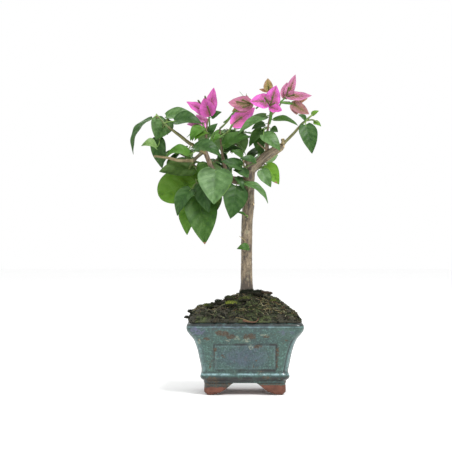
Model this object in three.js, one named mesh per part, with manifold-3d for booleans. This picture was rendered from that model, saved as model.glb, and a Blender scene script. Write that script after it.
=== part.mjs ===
// Bougainvillea bonsai: one upright trunk with a flat, open crown of leaves and pink bracts,
// planted on a mound of soil in a glazed pot on four feet.
// Millimetres, +Z up. The plant's front faces -Y. The origin ends up under the middle of the whole.
import * as THREE from 'three';
import Module from 'manifold-3d';
import { mergeVertices } from 'three/addons/utils/BufferGeometryUtils.js';

const wasm = await Module();
wasm.setup();

// Gap between pieces that touch, and how far a fused face may be smoothed
const clear = 0.3;
const faceTolerance = 0.06;

// Places on the plant are given as they look from the front: across from the pot's middle,
// behind the trunk's plane, and up. The eye stands this far in front of that plane.
const eyeDistance = 1400;
const eyeAcross = -21.4;
const eyeHeight = 189;

// Pot
const footBottom = -1.4;
const footTop = 12.5;
const rimTop = 81.5;
const shallower = 14;
const potCorner = 8;
const potFloor = 19.5;
// Height and half width of its outer face, from the foot ring over the band and the flare to the lip
const potOutside = [
  [footTop, 46.4], [15, 46.9], [17, 49.2], [19.2, 50.4], [22, 50], [24.6, 48.9],
  [41.5, 51.7], [48.5, 53.2], [56, 55.4], [62.5, 58.2], [68.5, 62.7], [72, 64.9], [75.2, 65.7],
  [78.6, 65.2], [81, 63.2], [rimTop, 62],
];
// The same for its inner face, from the rim down to the floor
const potInside = [[rimTop, 58.5], [79, 57.5], [68, 54], [56, 49.5], [41.5, 45.7], [potFloor, 41]];
const panelDeep = 1.2;
const panelBottom = 27;
const panelTop = 56.5;
const frontPanelWide = 69.8;
const sidePanelWide = 42;

// Feet: the arches between them, as half widths of the flat top and of the opening at the ground
const footOutside = 46;
const footCorner = 7;
const frontArch = { top: 11.5, ground: 31 };
const sideArch = { top: 6, ground: 18.5 };
const footToe = 4;
const archSlope = 0.62;
const archLength = 140;

// Soil
const seatHeight = 113;
const seatAcross = 2.4;
const moundHalfWidth = 63.6;
const moundHalfDepth = 49.6;
const moundRings = [1, 0.985, 0.95, 0.88, 0.8, 0.71, 0.62, 0.53, 0.44, 0.35, 0.26, 0.17];
// Its lumps, as waves: their height, and the pace and the start of each across and from front to back
const moundWaves = [[1.3, 0.145, -0.87, 0.17, 0.45], [0.9, 0.31, 1.9, -0.26, -0.1], [0.7, -0.4, 0, 0.37, 0.6]];
// Its left side stands up like a block below the seat, and its right side falls away evenly
const moundEdge = { left: 11.4, right: 2.4 };
const moundShoulder = { left: 22, right: 4.5 };
const moundFall = { left: 1.65, right: 2.2 };
const blockStart = 0.62;

// Leaves
const leafThick = 0.02;
const leafFold = 0.12;
const smallLeaf = 24;
const leafStations = [[0, 0.2], [0.1, 0.82], [0.28, 1], [0.55, 0.83], [0.8, 0.44]];
const fillStations = [[0, 0.3], [0.26, 1], [0.62, 0.72]];
const bractStations = [[0, 0.22], [0.2, 0.92], [0.5, 0.92], [0.78, 0.42]];
const bractCup = -0.06;
const bractOverlap = 0.05;
const stalkMeetsRib = 0.06;
const stalkRadius = 0.75;
const twigRadius = 1;

// Shoots that fill a mass out
const firstSeed = 100;
const goldenShare = 0.618;
const shootSpread = 4.4;
const leafPlaces = [0.34, 0.56, 0.76, 0.9, 1];
const shootLength = 17;
const fillLeafLength = 32;
const fillLeafStalk = 6;
const shootBehind = 6;

const up = new THREE.Vector3(0, 0, 1);

const colours = {
  glaze: new THREE.MeshStandardMaterial({ color: 0x5f8a87, roughness: 0.22, metalness: 0 }),
  clay: new THREE.MeshStandardMaterial({ color: 0x8f5748, roughness: 0.85, metalness: 0 }),
  soil: new THREE.MeshStandardMaterial({ color: 0x3a3a2c, roughness: 0.95, metalness: 0 }),
  bark: new THREE.MeshStandardMaterial({ color: 0x8d7d68, roughness: 0.9, metalness: 0 }),
  leaf: new THREE.MeshStandardMaterial({ color: 0x3f7a35, roughness: 0.5, metalness: 0 }),
};

function at([across, behind, height]) {
  const nearness = 1 + behind / eyeDistance;
  return new THREE.Vector3(
    eyeAcross + (across - eyeAcross) * nearness,
    behind,
    eyeHeight + (height - eyeHeight) * nearness,
  );
}

// Repeatable random numbers from 0 to 1, one stream for each seed
function stream(seed) {
  let state = seed;
  return () => {
    state = (Math.imul(state, 1664525) + 1013904223) >>> 0;
    return state / 4294967296;
  };
}

function mix(from, to, share) {
  return from + (to - from) * share;
}

function sample(values, share) {
  const place = share * (values.length - 1);
  const low = Math.min(Math.floor(place), values.length - 2);
  return mix(values[low], values[low + 1], place - low);
}

// Closed skin over a row of rings that all have the same count. The last ring may be one point.
function skin(rings) {
  const position = [];
  const index = [];
  const starts = [];
  for (const ring of rings) {
    starts.push(position.length / 3);
    ring.forEach((point) => position.push(point.x, point.y, point.z));
  }
  const count = rings[0].length;
  for (let row = 0; row + 1 < rings.length; row++) {
    const pointed = rings[row + 1].length === 1;
    for (let step = 0; step < count; step++) {
      const next = (step + 1) % count;
      const above = pointed ? starts[row + 1] : starts[row + 1] + next;
      index.push(starts[row] + step, starts[row] + next, above);
      if (!pointed) index.push(starts[row] + step, above, starts[row + 1] + step);
    }
  }
  const last = starts[rings.length - 1];
  for (let step = 1; step + 1 < count; step++) {
    index.push(0, step + 1, step);
    if (rings.at(-1).length > 1) index.push(last, last + step, last + step + 1);
  }
  const geometry = new THREE.BufferGeometry();
  geometry.setAttribute('position', new THREE.Float32BufferAttribute(position, 3));
  geometry.setIndex(index);
  return geometry;
}

function solid(geometry) {
  const bare = geometry.clone();
  bare.deleteAttribute('normal');
  bare.deleteAttribute('uv');
  const merged = mergeVertices(bare, 1e-5);
  return new wasm.Manifold(new wasm.Mesh({
    numProp: 3,
    vertProperties: new Float32Array(merged.attributes.position.array),
    triVerts: new Uint32Array(merged.index.array),
  }));
}

// A named mesh of the largest body of a solid: loose scraps go, and sealed hollows fill
function mesh(name, body, material) {
  const bodies = body.simplify(faceTolerance).decompose();
  bodies.sort((one, other) => other.volume() - one.volume());
  const shape = bodies[0].getMesh();
  const geometry = new THREE.BufferGeometry();
  geometry.setAttribute('position', new THREE.BufferAttribute(shape.vertProperties, 3));
  geometry.setIndex(new THREE.BufferAttribute(shape.triVerts, 1));
  geometry.computeVertexNormals();
  const piece = new THREE.Mesh(geometry, material);
  piece.name = name;
  return piece;
}

// Ring round a rectangle with round corners, seen anticlockwise from above
function roundedRing(halfWidth, halfDepth, radius, height, cornerSteps = 2, sideSteps = 1) {
  const ring = [];
  for (let corner = 0; corner < 4; corner++) {
    const signX = corner === 0 || corner === 3 ? 1 : -1;
    const signY = corner < 2 ? 1 : -1;
    for (let step = 0; step <= cornerSteps; step++) {
      const angle = (corner + step / cornerSteps) * Math.PI / 2;
      ring.push(new THREE.Vector3(
        signX * (halfWidth - radius) + radius * Math.cos(angle),
        signY * (halfDepth - radius) + radius * Math.sin(angle),
        height,
      ));
    }
    const end = ring.at(-1);
    const along = corner % 2 === 0 ? halfWidth - radius : halfDepth - radius;
    const heading = new THREE.Vector3(-signX * (1 - corner % 2), -signY * (corner % 2), 0);
    for (let step = 1; step < sideSteps; step++) {
      ring.push(end.clone().addScaledVector(heading, 2 * along * step / sideSteps));
    }
  }
  return ring;
}

// Tapering tube through a row of points, with a radius at each of them
function tube(points, radii, sides, stepsBetween = 2) {
  const curve = new THREE.CatmullRomCurve3(points, false, 'centripetal');
  const steps = (points.length - 1) * stepsBetween;
  const rings = [];
  const start = curve.getTangent(0);
  let across = Math.abs(start.y) < 0.8 ? new THREE.Vector3(0, 1, 0) : new THREE.Vector3(1, 0, 0);
  for (let step = 0; step <= steps; step++) {
    const share = step / steps;
    const along = curve.getTangent(share);
    across = across.clone().addScaledVector(along, -across.dot(along)).normalize();
    const over = along.clone().cross(across);
    const middle = curve.getPoint(share);
    const radius = sample(radii, share);
    rings.push(Array.from({ length: sides }, (_, side) => {
      const angle = side / sides * Math.PI * 2;
      return middle.clone()
        .addScaledVector(across, radius * Math.cos(angle))
        .addScaledVector(over, radius * Math.sin(angle));
    }));
  }
  return solid(skin(rings));
}

// Pot: one shell from the foot ring up the outside, over the lip and down to the floor
function potRing([height, halfWidth], inset = 0) {
  const half = halfWidth - inset;
  return roundedRing(half, half - shallower, potCorner - inset, height);
}

function makePot() {
  const shell = solid(skin([...potOutside, ...potInside].map((row) => potRing(row))));
  const wall = potOutside.filter(([height]) => height > 22 && height < 65);
  const face = solid(skin(wall.map((row) => potRing(row, -0.5))));
  const behindPanel = solid(skin(wall.map((row) => potRing(row, panelDeep))));
  const tall = panelTop - panelBottom;
  const windows = [[frontPanelWide, 200], [200, sidePanelWide]].map(([wide, deep]) => {
    const box = new THREE.BoxGeometry(wide, deep, tall);
    return solid(box.translate(0, 0, panelBottom + tall / 2));
  });
  const panels = face.subtract(behindPanel).intersect(windows[0].add(windows[1]));
  return mesh('pot', shell.subtract(panels), colours.glaze);
}

// Feet: what two arches, one along and one across, leave of the ring under the pot
function archShape(halfSpan, arch) {
  const crown = footTop;
  const above = footTop + 1;
  const half = mix(arch.ground, arch.top, archSlope);
  const shape = new THREE.Shape();
  shape.moveTo(-halfSpan - footToe, above);
  shape.lineTo(-halfSpan, footBottom + footToe);
  shape.lineTo(-halfSpan + footToe, footBottom);
  shape.lineTo(-arch.ground, footBottom);
  shape.bezierCurveTo(-half, footBottom + 1, -half, crown - 0.5, -arch.top, crown);
  shape.lineTo(arch.top, crown);
  shape.bezierCurveTo(half, crown - 0.5, half, footBottom + 1, arch.ground, footBottom);
  shape.lineTo(halfSpan - footToe, footBottom);
  shape.lineTo(halfSpan, footBottom + footToe);
  shape.lineTo(halfSpan + footToe, above);
  return shape;
}

function makeFeet() {
  const settings = { depth: archLength, bevelEnabled: false, curveSegments: 4 };
  const halfDepth = footOutside - shallower;
  const front = new THREE.ExtrudeGeometry(archShape(footOutside, frontArch), settings);
  front.rotateX(Math.PI / 2).translate(0, archLength / 2, 0);
  const side = new THREE.ExtrudeGeometry(archShape(halfDepth, sideArch), settings);
  side.rotateX(Math.PI / 2).rotateZ(Math.PI / 2).translate(-archLength / 2, 0, 0);
  const ground = roundedRing(footOutside, halfDepth, footCorner, footBottom);
  const top = roundedRing(footOutside, halfDepth, footCorner, footTop - clear);
  const feet = solid(skin([ground, top])).intersect(solid(front)).intersect(solid(side));
  return feet.decompose().map((foot) => {
    const box = foot.boundingBox();
    const where = `${box.min[1] < 0 ? 'front' : 'back'}_${box.min[0] < 0 ? 'left' : 'right'}`;
    return mesh(`pot_foot_${where}`, foot, colours.clay);
  });
}

// Soil: a plug that fills the pot, and a mound on it that also covers the flat of the rim
function moundHeight(share, left) {
  const base = rimTop + clear;
  const edge = mix(moundEdge.right, moundEdge.left, left);
  const shoulder = mix(moundShoulder.right, moundShoulder.left, left);
  const leftSlope = 1 - Math.min(1, share / blockStart) ** moundFall.left;
  const slope = mix(1 - share ** moundFall.right, leftSlope, left);
  return base + edge * (1 - share ** shoulder) + (seatHeight - base - edge) * slope;
}

function moundLumps(x, y) {
  const heights = moundWaves.map(([height, paceX, startX, paceY, startY]) => (
    height * Math.sin(paceX * x + startX) * Math.sin(paceY * y + startY)
  ));
  return heights.reduce((total, height) => total + height);
}

function makeSoil() {
  const plug = [...potInside].reverse().map(([height, halfWidth]) => {
    const half = halfWidth - clear;
    return roundedRing(half, half - shallower, potCorner - clear, height + clear, 2, 8);
  });
  const outline = roundedRing(moundHalfWidth, moundHalfDepth, potCorner + 2, 0, 2, 8);
  const seat = new THREE.Vector3(seatAcross, 0, 0);
  const seatShare = moundRings.at(-1);
  const mound = moundRings.map((share) => outline.map((point) => {
    const angle = Math.atan2(point.y / moundHalfDepth, point.x / moundHalfWidth);
    const round = new THREE.Vector3(Math.cos(angle) * moundHalfWidth, Math.sin(angle) * moundHalfDepth, 0);
    const place = seat.clone().lerp(round.lerp(point, share ** 2), share);
    const left = ((1 - (point.x - seat.x) / Math.hypot(point.x - seat.x, point.y)) / 2) ** 0.7;
    const fade = share > seatShare ? Math.min(1, (1 - share) / 0.05) : 0;
    place.z = moundHeight(share === seatShare ? 0 : share, left) + moundLumps(place.x, place.y) * fade;
    return place;
  }));
  return mesh('soil', solid(skin([...plug, ...mound])), colours.soil);
}

// Trunk and boughs: a row of places, each with its radius
const limbs = {
  trunk: {
    sides: 9,
    points: [
      [2.4, 0, seatHeight + clear], [2.4, 0, 117], [2.3, 0, 124], [2.2, 0.5, 150], [3, 1, 195],
      [4.4, 1, 214], [5.2, 0.5, 229], [5.7, 0, 241], [6, 0, 253], [6.4, 0, 260.5],
    ],
    radii: [9, 7.5, 6.8, 6.4, 6.5, 6.7, 6.1, 5.8, 6.5, 5],
  },
  bough_right: {
    parent: 'trunk',
    sides: 8,
    points: [[6, 0, 254], [15.4, -1, 261.5], [24.6, -2, 270], [35, -3, 277], [44.5, -4, 281.5]],
    radii: [5.6, 5.2, 4.8, 4.2, 3.4],
  },
  bough_right_upright: {
    parent: 'bough_right',
    sides: 6,
    points: [[26, -2, 271], [25.6, -3, 282], [25, -4, 292]],
    radii: [2.6, 2.1, 1.8],
  },
  bough_right_tip: {
    parent: 'bough_right',
    sides: 5,
    points: [[42, -4, 281], [56.8, -5, 296], [66, -6, 306.6]],
    radii: [1.8, 1.6, 1.3],
  },
  bough_left: {
    parent: 'trunk',
    sides: 6,
    points: [[5, 0, 238], [-14, -5, 241], [-28, -8, 246], [-37.7, -10, 254.6]],
    radii: [3.6, 3.2, 3, 2.8],
  },
  bough_left_upper: {
    parent: 'bough_left',
    sides: 6,
    points: [[-37.4, -10, 254], [-42.1, -10, 266], [-45.5, -9, 276.4], [-43.6, -8, 288]],
    radii: [2.8, 2.7, 2.6, 2],
  },
  bough_left_bend: {
    parent: 'bough_left_upper',
    sides: 5,
    points: [[-44.5, -9, 276], [-51, -8, 271.5], [-59.3, -6, 263.8]],
    radii: [2.1, 2, 1.9],
  },
  bough_left_spur: {
    parent: 'bough_left_bend',
    sides: 5,
    points: [[-58.5, -6, 264.2], [-75.5, -3, 264.4], [-90, 0, 267.6], [-104.1, 3, 269.3]],
    radii: [1.9, 1.8, 1.6, 1.2],
  },
  bough_left_high: {
    parent: 'bough_left_upper',
    sides: 5,
    points: [[-45, -9, 277.5], [-61.2, -5, 282.9], [-75.4, -3, 293.7], [-88, -2, 303]],
    radii: [2.2, 2, 1.8, 1.5],
  },
  bough_middle: {
    parent: 'bough_left',
    sides: 5,
    points: [[-18, -6, 242], [-22.5, -4, 256], [-25.5, -2, 270]],
    radii: [2.4, 2.2, 1.8],
  },
  bough_back_left: {
    parent: 'trunk',
    sides: 6,
    points: [[5, 0, 243], [-12, 18, 243.5], [-30, 32, 252]],
    radii: [3.4, 2.8, 2],
  },
  bough_back_right: {
    parent: 'trunk',
    sides: 6,
    points: [[6, 0, 248], [14, 17, 256], [24, 32, 264]],
    radii: [3.2, 2.6, 2],
  },
  bough_back_top: {
    parent: 'trunk',
    sides: 6,
    points: [[6, 0, 256], [2, 15, 263], [-6, 27, 271]],
    radii: [3, 2.4, 1.8],
  },
};

function growLimb(limb, extra = 0) {
  return tube(limb.points.map(at), limb.radii.map((radius) => radius + extra), limb.sides);
}

function makeLimbs() {
  for (const limb of Object.values(limbs)) {
    limb.solid = growLimb(limb);
    limb.cutter = growLimb(limb, clear + 0.1);
  }
  for (const limb of Object.values(limbs)) {
    if (limb.parent) limb.solid = limb.solid.subtract(limbs[limb.parent].cutter);
  }
  return Object.entries(limbs).map(([name, limb]) => mesh(name, limb.solid, colours.bark));
}

// Thin blade with a raised edge each side of its rib. It bows towards the side that it faces.
function makeBlade(base, tip, width, arch, facing, stations) {
  const chord = tip.clone().sub(base);
  const long = chord.length();
  const along = chord.clone().normalize();
  const face = facing.clone().addScaledVector(along, -facing.dot(along)).normalize();
  const side = along.clone().cross(face);
  const halfThick = long * leafThick / 2;
  const rib = (share) => base.clone()
    .addScaledVector(chord, share)
    .addScaledVector(face, arch * long * 4 * share * (1 - share));
  const rings = stations.map(([share, spread]) => {
    const middle = rib(share);
    const half = width / 2 * spread;
    const edge = (sign) => middle.clone()
      .addScaledVector(side, sign * half)
      .addScaledVector(face, half * leafFold);
    return [
      middle.clone().addScaledVector(face, halfThick), edge(1),
      middle.clone().addScaledVector(face, -halfThick), edge(-1),
    ];
  });
  return { body: solid(skin([...rings, [tip]])), root: rib(stalkMeetsRib), tip };
}

function facingFrom(tilt, turn) {
  const lean = THREE.MathUtils.degToRad(tilt);
  const heading = THREE.MathUtils.degToRad(turn);
  return new THREE.Vector3(
    Math.sin(lean) * Math.sin(heading),
    -Math.sin(lean) * Math.cos(heading),
    Math.cos(lean),
  );
}

// Masses of foliage. Each has the limb that carries it, its wood (the stem first, then its twigs),
// and the leaves that show singly: base, tip, width, arch, and where the upper side faces, as a tilt
// from straight up and the turn of that tilt from the front to the right. A blossom has its middle,
// the tips of its bracts from there, and their width. Seeded shoots fill the rest of its space,
// which is an egg shape given by its middle and half sizes.
const masses = {
  foliage_left_outer: {
    limb: 'bough_left_high',
    wood: [
      [[-87, -2, 302], [-95, -2, 310], [-101.7, -2, 317.8]],
      [[-91, -2, 306], [-96, 8, 299], [-98, 9, 289]],
      [[-91, -2, 306], [-89, 4, 311], [-87, 7, 314]],
    ],
    leaves: [
      [[-104.5, -5, 313], [-128, -12, 271], 21, 0.2, 62, -62],
      [[-90, 7, 312], [-102, 6.5, 288.5], 28, 0.08, 78, -10],
      [[-100, 12, 291], [-94.8, 14, 255], 20, 0.06, 80, -24],
      [[-101, -1, 278.5], [-119, -7, 281], 17, 0.3, 48, -20],
      [[-91, 10, 315], [-53, 12, 311.5], 19, 0.16, 46, 5],
      [[-81.5, -8, 309], [-48.5, -12, 306], 20, 0.2, 52, 5],
    ],
    space: [[-96, 14, 290], [36, 36, 42]],
    shoots: 4,
  },
  foliage_left_middle: {
    limb: 'bough_left_bend',
    wood: [
      [[-58.5, -6, 264.5], [-63, 0, 256], [-66, 6, 250]],
      [[-60, -3, 260], [-58, 3, 259], [-55, 8, 257]],
    ],
    leaves: [
      [[-57, 4, 256], [-98.5, -1, 251.5], 26, 0.05, 62, -8],
      [[-52, 13, 242.5], [-99.2, 8, 224], 41, 0.05, 72, -12],
    ],
    space: [[-76, 16, 244], [38, 32, 36]],
    shoots: 4,
  },
  foliage_left_top: {
    limb: 'bough_left_upper',
    wood: [
      [[-43.8, -8, 286], [-44, -8, 299], [-42, -9, 312]],
      [[-43.8, -8, 297], [-47, -10, 304], [-48, -8, 308]],
    ],
    leaves: [
      [[-47.5, -14, 303], [-62.6, -20, 287.1], 16, 0.2, 60, -20],
      [[-42.5, -14, 296], [-57.7, -24, 287], 12, 0.2, 50, -20],
      [[-41, -10, 296], [-31, -14, 307], 9, 0.2, 60, 20],
      [[-38.4, -10, 314], [-26.3, -13, 320.2], 9, 0.15, 60, 20],
    ],
    blossoms: [
      [[-41, -10, 317], [[5.5, 2, 31], [-26.5, -2, 14], [-8, -16, 15]], 17, 70, -15],
      [[-46.5, -8, 308], [[-20.4, -9, -2], [-13.6, -9, -17], [-9, 5, 9]], 12, 85, 0],
    ],
    space: [[-48, 12, 300], [34, 38, 36]],
    shoots: 4,
  },
  foliage_centre_low: {
    limb: 'bough_left',
    wood: [
      [[-36, -9.5, 252], [-44, -12, 246], [-52, -11, 234], [-56, -9, 226]],
      [[-47, -12, 241], [-58, -12, 236], [-60, -14, 230]],
    ],
    leaves: [
      [[-32.8, -20, 254.5], [-35.3, -36, 213.8], 40, 0.05, 80, 4],
      [[-60.5, -17, 232], [-77.5, -22, 200.5], 21, 0.2, 72, -26],
      [[-53.5, -12, 223.5], [-45.7, -22, 167.8], 37, 0.04, 82, 6],
      [[-61.5, -4, 219], [-66.2, -8, 178.5], 23, 0.06, 82, -20],
      [[-50.5, -18, 237.9], [-40.8, -27, 204], 20, 0.05, 76, -14],
      [[-36, -5, 230], [-38.2, -8, 198.5], 21, 0.05, 80, 0],
    ],
    space: [[-44, 12, 224], [36, 34, 36]],
    shoots: 4,
  },
  foliage_junction: {
    limb: 'bough_left_upper',
    wood: [[[-45, -9, 272], [-50, -18, 275], [-55, -24, 277]]],
    leaves: [
      [[-59.5, -28, 278.5], [-26.5, -32, 266.5], 21, 0.28, 46, 0],
      [[-62, -21, 270], [-90.9, -18, 268.6], 18, 0.3, 40, -5],
    ],
    space: [[-45, -28, 275], [20, 10, 16]],
    shoots: 0,
  },
  foliage_centre_top: {
    limb: 'bough_middle',
    wood: [
      [[-25.2, -2, 268], [-26.8, -1.5, 282], [-28, -1, 293], [-28.3, -2, 302]],
      [[-28.3, -2, 301], [-20, -6, 309], [-10.5, -9, 321.5], [1, -12, 328]],
      [[-27.5, -2, 292], [-19, -6, 297.5], [-14.5, -9, 305.5]],
    ],
    leaves: [
      [[-25, -8, 281], [6.2, -14, 291.9], 20, 0.16, 52, 0],
      [[-24, 2, 275], [-4.1, 0, 277.6], 12, 0.12, 40, 0],
      [[-26, -6, 293], [-36, -12, 286], 10, 0.2, 55, -20],
      [[-24, 0, 296], [-14, -3, 291], 12, 0.2, 55, 20],
    ],
    blossoms: [
      [[3, -12, 330], [[-21, -6, 1], [-8, 8, 13], [4, -12, 14]], 19, 62, 0],
      [[-14.5, -9, 306], [[26, 3, 20], [4, 8, 18], [-2, 14, 4]], 18, 85, 10],
    ],
    space: [[-12, 10, 290], [34, 34, 34]],
    shoots: 3,
  },
  foliage_right_top: {
    limb: 'bough_right_upright',
    wood: [
      [[25, -4, 290], [26.9, -5, 302], [28.1, -5, 310], [29.8, -8, 318]],
      [[29, -6, 315], [38, -1, 324], [43, 0, 331], [52, -2, 331.5]],
      [[29, -6, 315], [31.5, -3, 330], [28.8, -4, 343]],
    ],
    leaves: [
      [[25.8, -9, 315.4], [-7.7, -16, 294.3], 13, 0.17, 52, -10],
      [[32.8, -9, 311], [61.6, -13, 304.3], 10, 0.2, 50, 15],
      [[23.5, 1, 306.3], [7.9, 0, 300], 10, 0.15, 60, -10],
      [[30.4, -6, 301.3], [38.4, -9, 297.1], 9, 0.1, 70, 10],
      [[20.5, -10, 294.5], [40.8, -15, 275.5], 19, 0.14, 72, 26],
      [[20.5, 3, 301], [5.1, 2, 279.9], 13, 0.1, 65, -20],
    ],
    blossoms: [
      [[30.1, -18, 327.5], [[-23.3, -6, 4.5], [6, -4, 23], [12.2, -15, -5.6]], 19, 72, 0],
      [[28.6, -5, 343.5], [[-2, -3, 15.5], [-12, -2, 3], [5, 8, 7]], 11, 85, 0],
      [[51.1, -4, 338], [[7.3, 2, 25.8], [25.8, -6, 0.3], [-7, 12, 10]], 15, 78, -15],
      [[54.5, -2, 330], [[19.2, -5, -12], [17.6, 10, 4.8], [3.5, -8, -13]], 14, 90, 0],
    ],
    space: [[32, 16, 302], [34, 36, 34]],
    shoots: 3,
  },
  foliage_right_tip: {
    limb: 'bough_right_tip',
    wood: [
      [[65, -6, 305.5], [74, -7, 313.5], [81.8, -8, 320]],
      [[70, -6.5, 310], [78, -5, 311], [84, -5, 308]],
    ],
    leaves: [
      [[69.8, -9, 306], [77.6, -14, 272], 21, 0.06, 82, 8],
      [[70.5, -8, 311], [61.5, -11, 317], 7, 0.15, 55, -10],
      [[77, -7, 316.5], [85.5, -8, 321.5], 6, 0.15, 55, 20],
      [[79, -4, 308], [88, -4, 303.5], 8, 0.15, 50, 20],
    ],
    space: [[74, 10, 296], [24, 32, 30]],
    shoots: 3,
  },
  foliage_right_low: {
    limb: 'trunk',
    wood: [[[8, 0, 250], [16, 1, 255], [22, 2, 258]]],
    leaves: [
      [[18.6, -4, 254], [30.3, -8, 233.6], 16, 0.06, 76, 14],
      [[24.8, 6, 259.5], [39.6, 3, 236.8], 19, 0.05, 80, 4],
    ],
    space: [[28, 16, 240], [26, 32, 30]],
    shoots: 3,
  },
  foliage_fork: {
    limb: 'trunk',
    wood: [
      [[5, -2, 250], [1, -10, 254], [-1, -13, 260], [-1, -14, 266]],
      [[0, -11, 256], [8, -13, 260], [13, -14, 262]],
    ],
    leaves: [
      [[-2.5, -16, 257.6], [-27, -22, 263.5], 15, 0.07, 62, -4],
      [[-2, -15, 269], [-16, -18, 276], 10, 0.12, 50, -10],
      [[13.5, -17, 262.8], [-6.1, -24, 266], 11, 0.12, 52, 0],
      [[5, -15, 247.6], [-13.5, -19, 253.5], 12, 0.1, 58, -6],
    ],
    space: [[-6, -20, 262], [22, 12, 16]],
    shoots: 0,
  },
  foliage_below_fork: {
    limb: 'trunk',
    wood: [[[4, -2, 236], [-1, -10, 238], [-5, -13, 240]]],
    leaves: [
      [[-10, -17, 236], [-16.4, -24, 197.2], 29, 0.05, 82, 8],
      [[-1.5, -14, 238], [27, -16, 214.5], 13, 0.22, 45, 30],
      [[-9.5, -15, 246], [-0.8, -20, 230], 9, 0.1, 66, 24],
    ],
    space: [[0, -18, 224], [20, 12, 26]],
    shoots: 0,
  },
  foliage_back_left: {
    limb: 'bough_back_left',
    wood: [
      [[-28, 31, 251], [-44, 40, 258], [-60, 47, 265], [-74, 52, 272]],
      [[-40, 38, 258], [-46, 50, 254], [-50, 60, 250]],
    ],
    space: [[-58, 46, 250], [48, 42, 44]],
    shoots: 9,
  },
  foliage_back_right: {
    limb: 'bough_back_right',
    wood: [[[23, 31, 263], [31, 40, 268], [38, 48, 273], [44, 56, 277]]],
    space: [[20, 44, 256], [28, 42, 42]],
    shoots: 8,
  },
  foliage_back_top: {
    limb: 'bough_back_top',
    wood: [[[-5.5, 26, 270], [-8, 34, 281], [-10, 42, 293], [-12, 50, 304]]],
    space: [[-8, 44, 290], [42, 42, 36]],
    shoots: 8,
  },
  shoot_high: {
    limb: 'trunk',
    wood: [[[3, 0, 199], [3, -6, 200], [3, -9, 201]]],
    leaves: [[[1, -10, 201.5], [-11, -13, 205], 5, 0.12, 40, -10]],
    space: [[-3, -10, 202], [10, 6, 6]],
    shoots: 0,
  },
  shoot_low: {
    limb: 'trunk',
    wood: [[[3, 0, 163], [4, -6, 164], [4.5, -9, 164.5]]],
    leaves: [[[5.5, -10, 163.8], [-9, -14, 162.6], 10, 0.2, 62, -6]],
    space: [[-1, -10, 164], [10, 6, 6]],
    shoots: 0,
  },
};

// Every solid that is already part of a mass, for the tests that keep masses apart
const grown = [];

function boxesMeet(one, other) {
  const [a, b] = [one.boundingBox(), other.boundingBox()];
  return [0, 1, 2].every((axis) => a.min[axis] - clear < b.max[axis] && b.min[axis] - clear < a.max[axis]);
}

function nearer(one, other) {
  return boxesMeet(one, other) && one.minGap(other, clear * 2) < clear;
}

// Clear of every limb, of the other masses, and of the blades in its own mass where they must not meet
function isClear(body, mass, alsoOwnBlades) {
  if (Object.values(limbs).some((limb) => nearer(body, limb.solid))) return false;
  return !grown.some((other) => {
    const counts = other.mass !== mass || (alsoOwnBlades && other.blade);
    return counts && nearer(body, other.body);
  });
}

function inSpace(point, [middle, halves]) {
  const centre = at(middle);
  const offset = point.clone().sub(centre);
  return Math.hypot(offset.x / halves[0], offset.y / halves[1], offset.z / halves[2]) <= 1;
}

function keep(mass, body, isBlade) {
  grown.push({ mass, body, blade: isBlade });
  mass.pieces.push(body);
}

function makeWood(mass) {
  mass.pieces = [];
  mass.curves = mass.wood.map((points) => new THREE.CatmullRomCurve3(points.map(at), false, 'centripetal'));
  mass.wood.forEach((points, number) => {
    const thick = number === 0 ? 1.5 : 1.1;
    let body = tube(points.map(at), [twigRadius * thick, twigRadius * 0.8], number === 0 ? 5 : 3, 2);
    for (const limb of Object.values(limbs)) body = body.subtract(limb.cutter);
    const largest = body.decompose().sort((one, other) => other.volume() - one.volume())[0];
    keep(mass, largest, false);
  });
}

function nearestWood(mass, point) {
  let best = null;
  for (const curve of mass.curves) {
    for (let step = 4; step <= 12; step++) {
      const place = curve.getPoint(step / 12);
      if (!best || place.distanceTo(point) < best.distanceTo(point)) best = place;
    }
  }
  return best;
}

function stalk(from, to) {
  return tube([from, to], [stalkRadius, stalkRadius * 0.8], 3, 1);
}

function makeShownLeaves(mass) {
  for (const [base, tip, width, arch, tilt, turn] of mass.leaves ?? []) {
    const foot = at(base);
    const end = at(tip);
    const stations = foot.distanceTo(end) < smallLeaf ? fillStations : leafStations;
    const { body, root } = makeBlade(foot, end, width, arch, facingFrom(tilt, turn), stations);
    const stem = stalk(nearestWood(mass, foot), root);
    if (isClear(body, mass, false) && isClear(stem, mass, false)) {
      keep(mass, body, true);
      keep(mass, stem, false);
    }
  }
}

function makeBlossoms(mass) {
  for (const [middle, tips, width, tilt, turn] of mass.blossoms ?? []) {
    const heart = at(middle);
    const axis = facingFrom(tilt, turn);
    for (const offset of tips) {
      const end = at(offset.map((value, number) => value + middle[number]));
      const base = heart.clone().lerp(end, -bractOverlap);
      const { body } = makeBlade(base, end, width, bractCup, axis, bractStations);
      if (isClear(body, mass, false)) keep(mass, body, true);
    }
    const stem = stalk(nearestWood(mass, heart), heart);
    if (isClear(stem, mass, false)) keep(mass, stem, false);
  }
}

// One leaf of a shoot. It leaves the twig on alternate sides, and the last one goes on past the tip.
function makeShootLeaf(place, root, level, [swing, droop, size]) {
  const last = leafPlaces[place] === 1;
  const side = place % 2 ? 1 : -1;
  const angle = last ? (swing - 0.5) * 0.8 : side * mix(0.7, 1.4, swing);
  const heading = level.clone().applyAxisAngle(up, angle);
  const fall = mix(0.25, 1.15, droop);
  const base = root.clone().addScaledVector(heading, fillLeafStalk);
  const length = fillLeafLength * mix(0.72, 1.1, size);
  const tip = base.clone()
    .addScaledVector(heading, length * Math.cos(fall))
    .addScaledVector(up, -length * Math.sin(fall));
  const facing = up.clone().addScaledVector(heading, 0.6);
  const leaf = makeBlade(base, tip, length * 0.6, mix(0.04, 0.18, swing), facing, fillStations);
  return { ...leaf, stem: stalk(root, leaf.root) };
}

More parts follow.
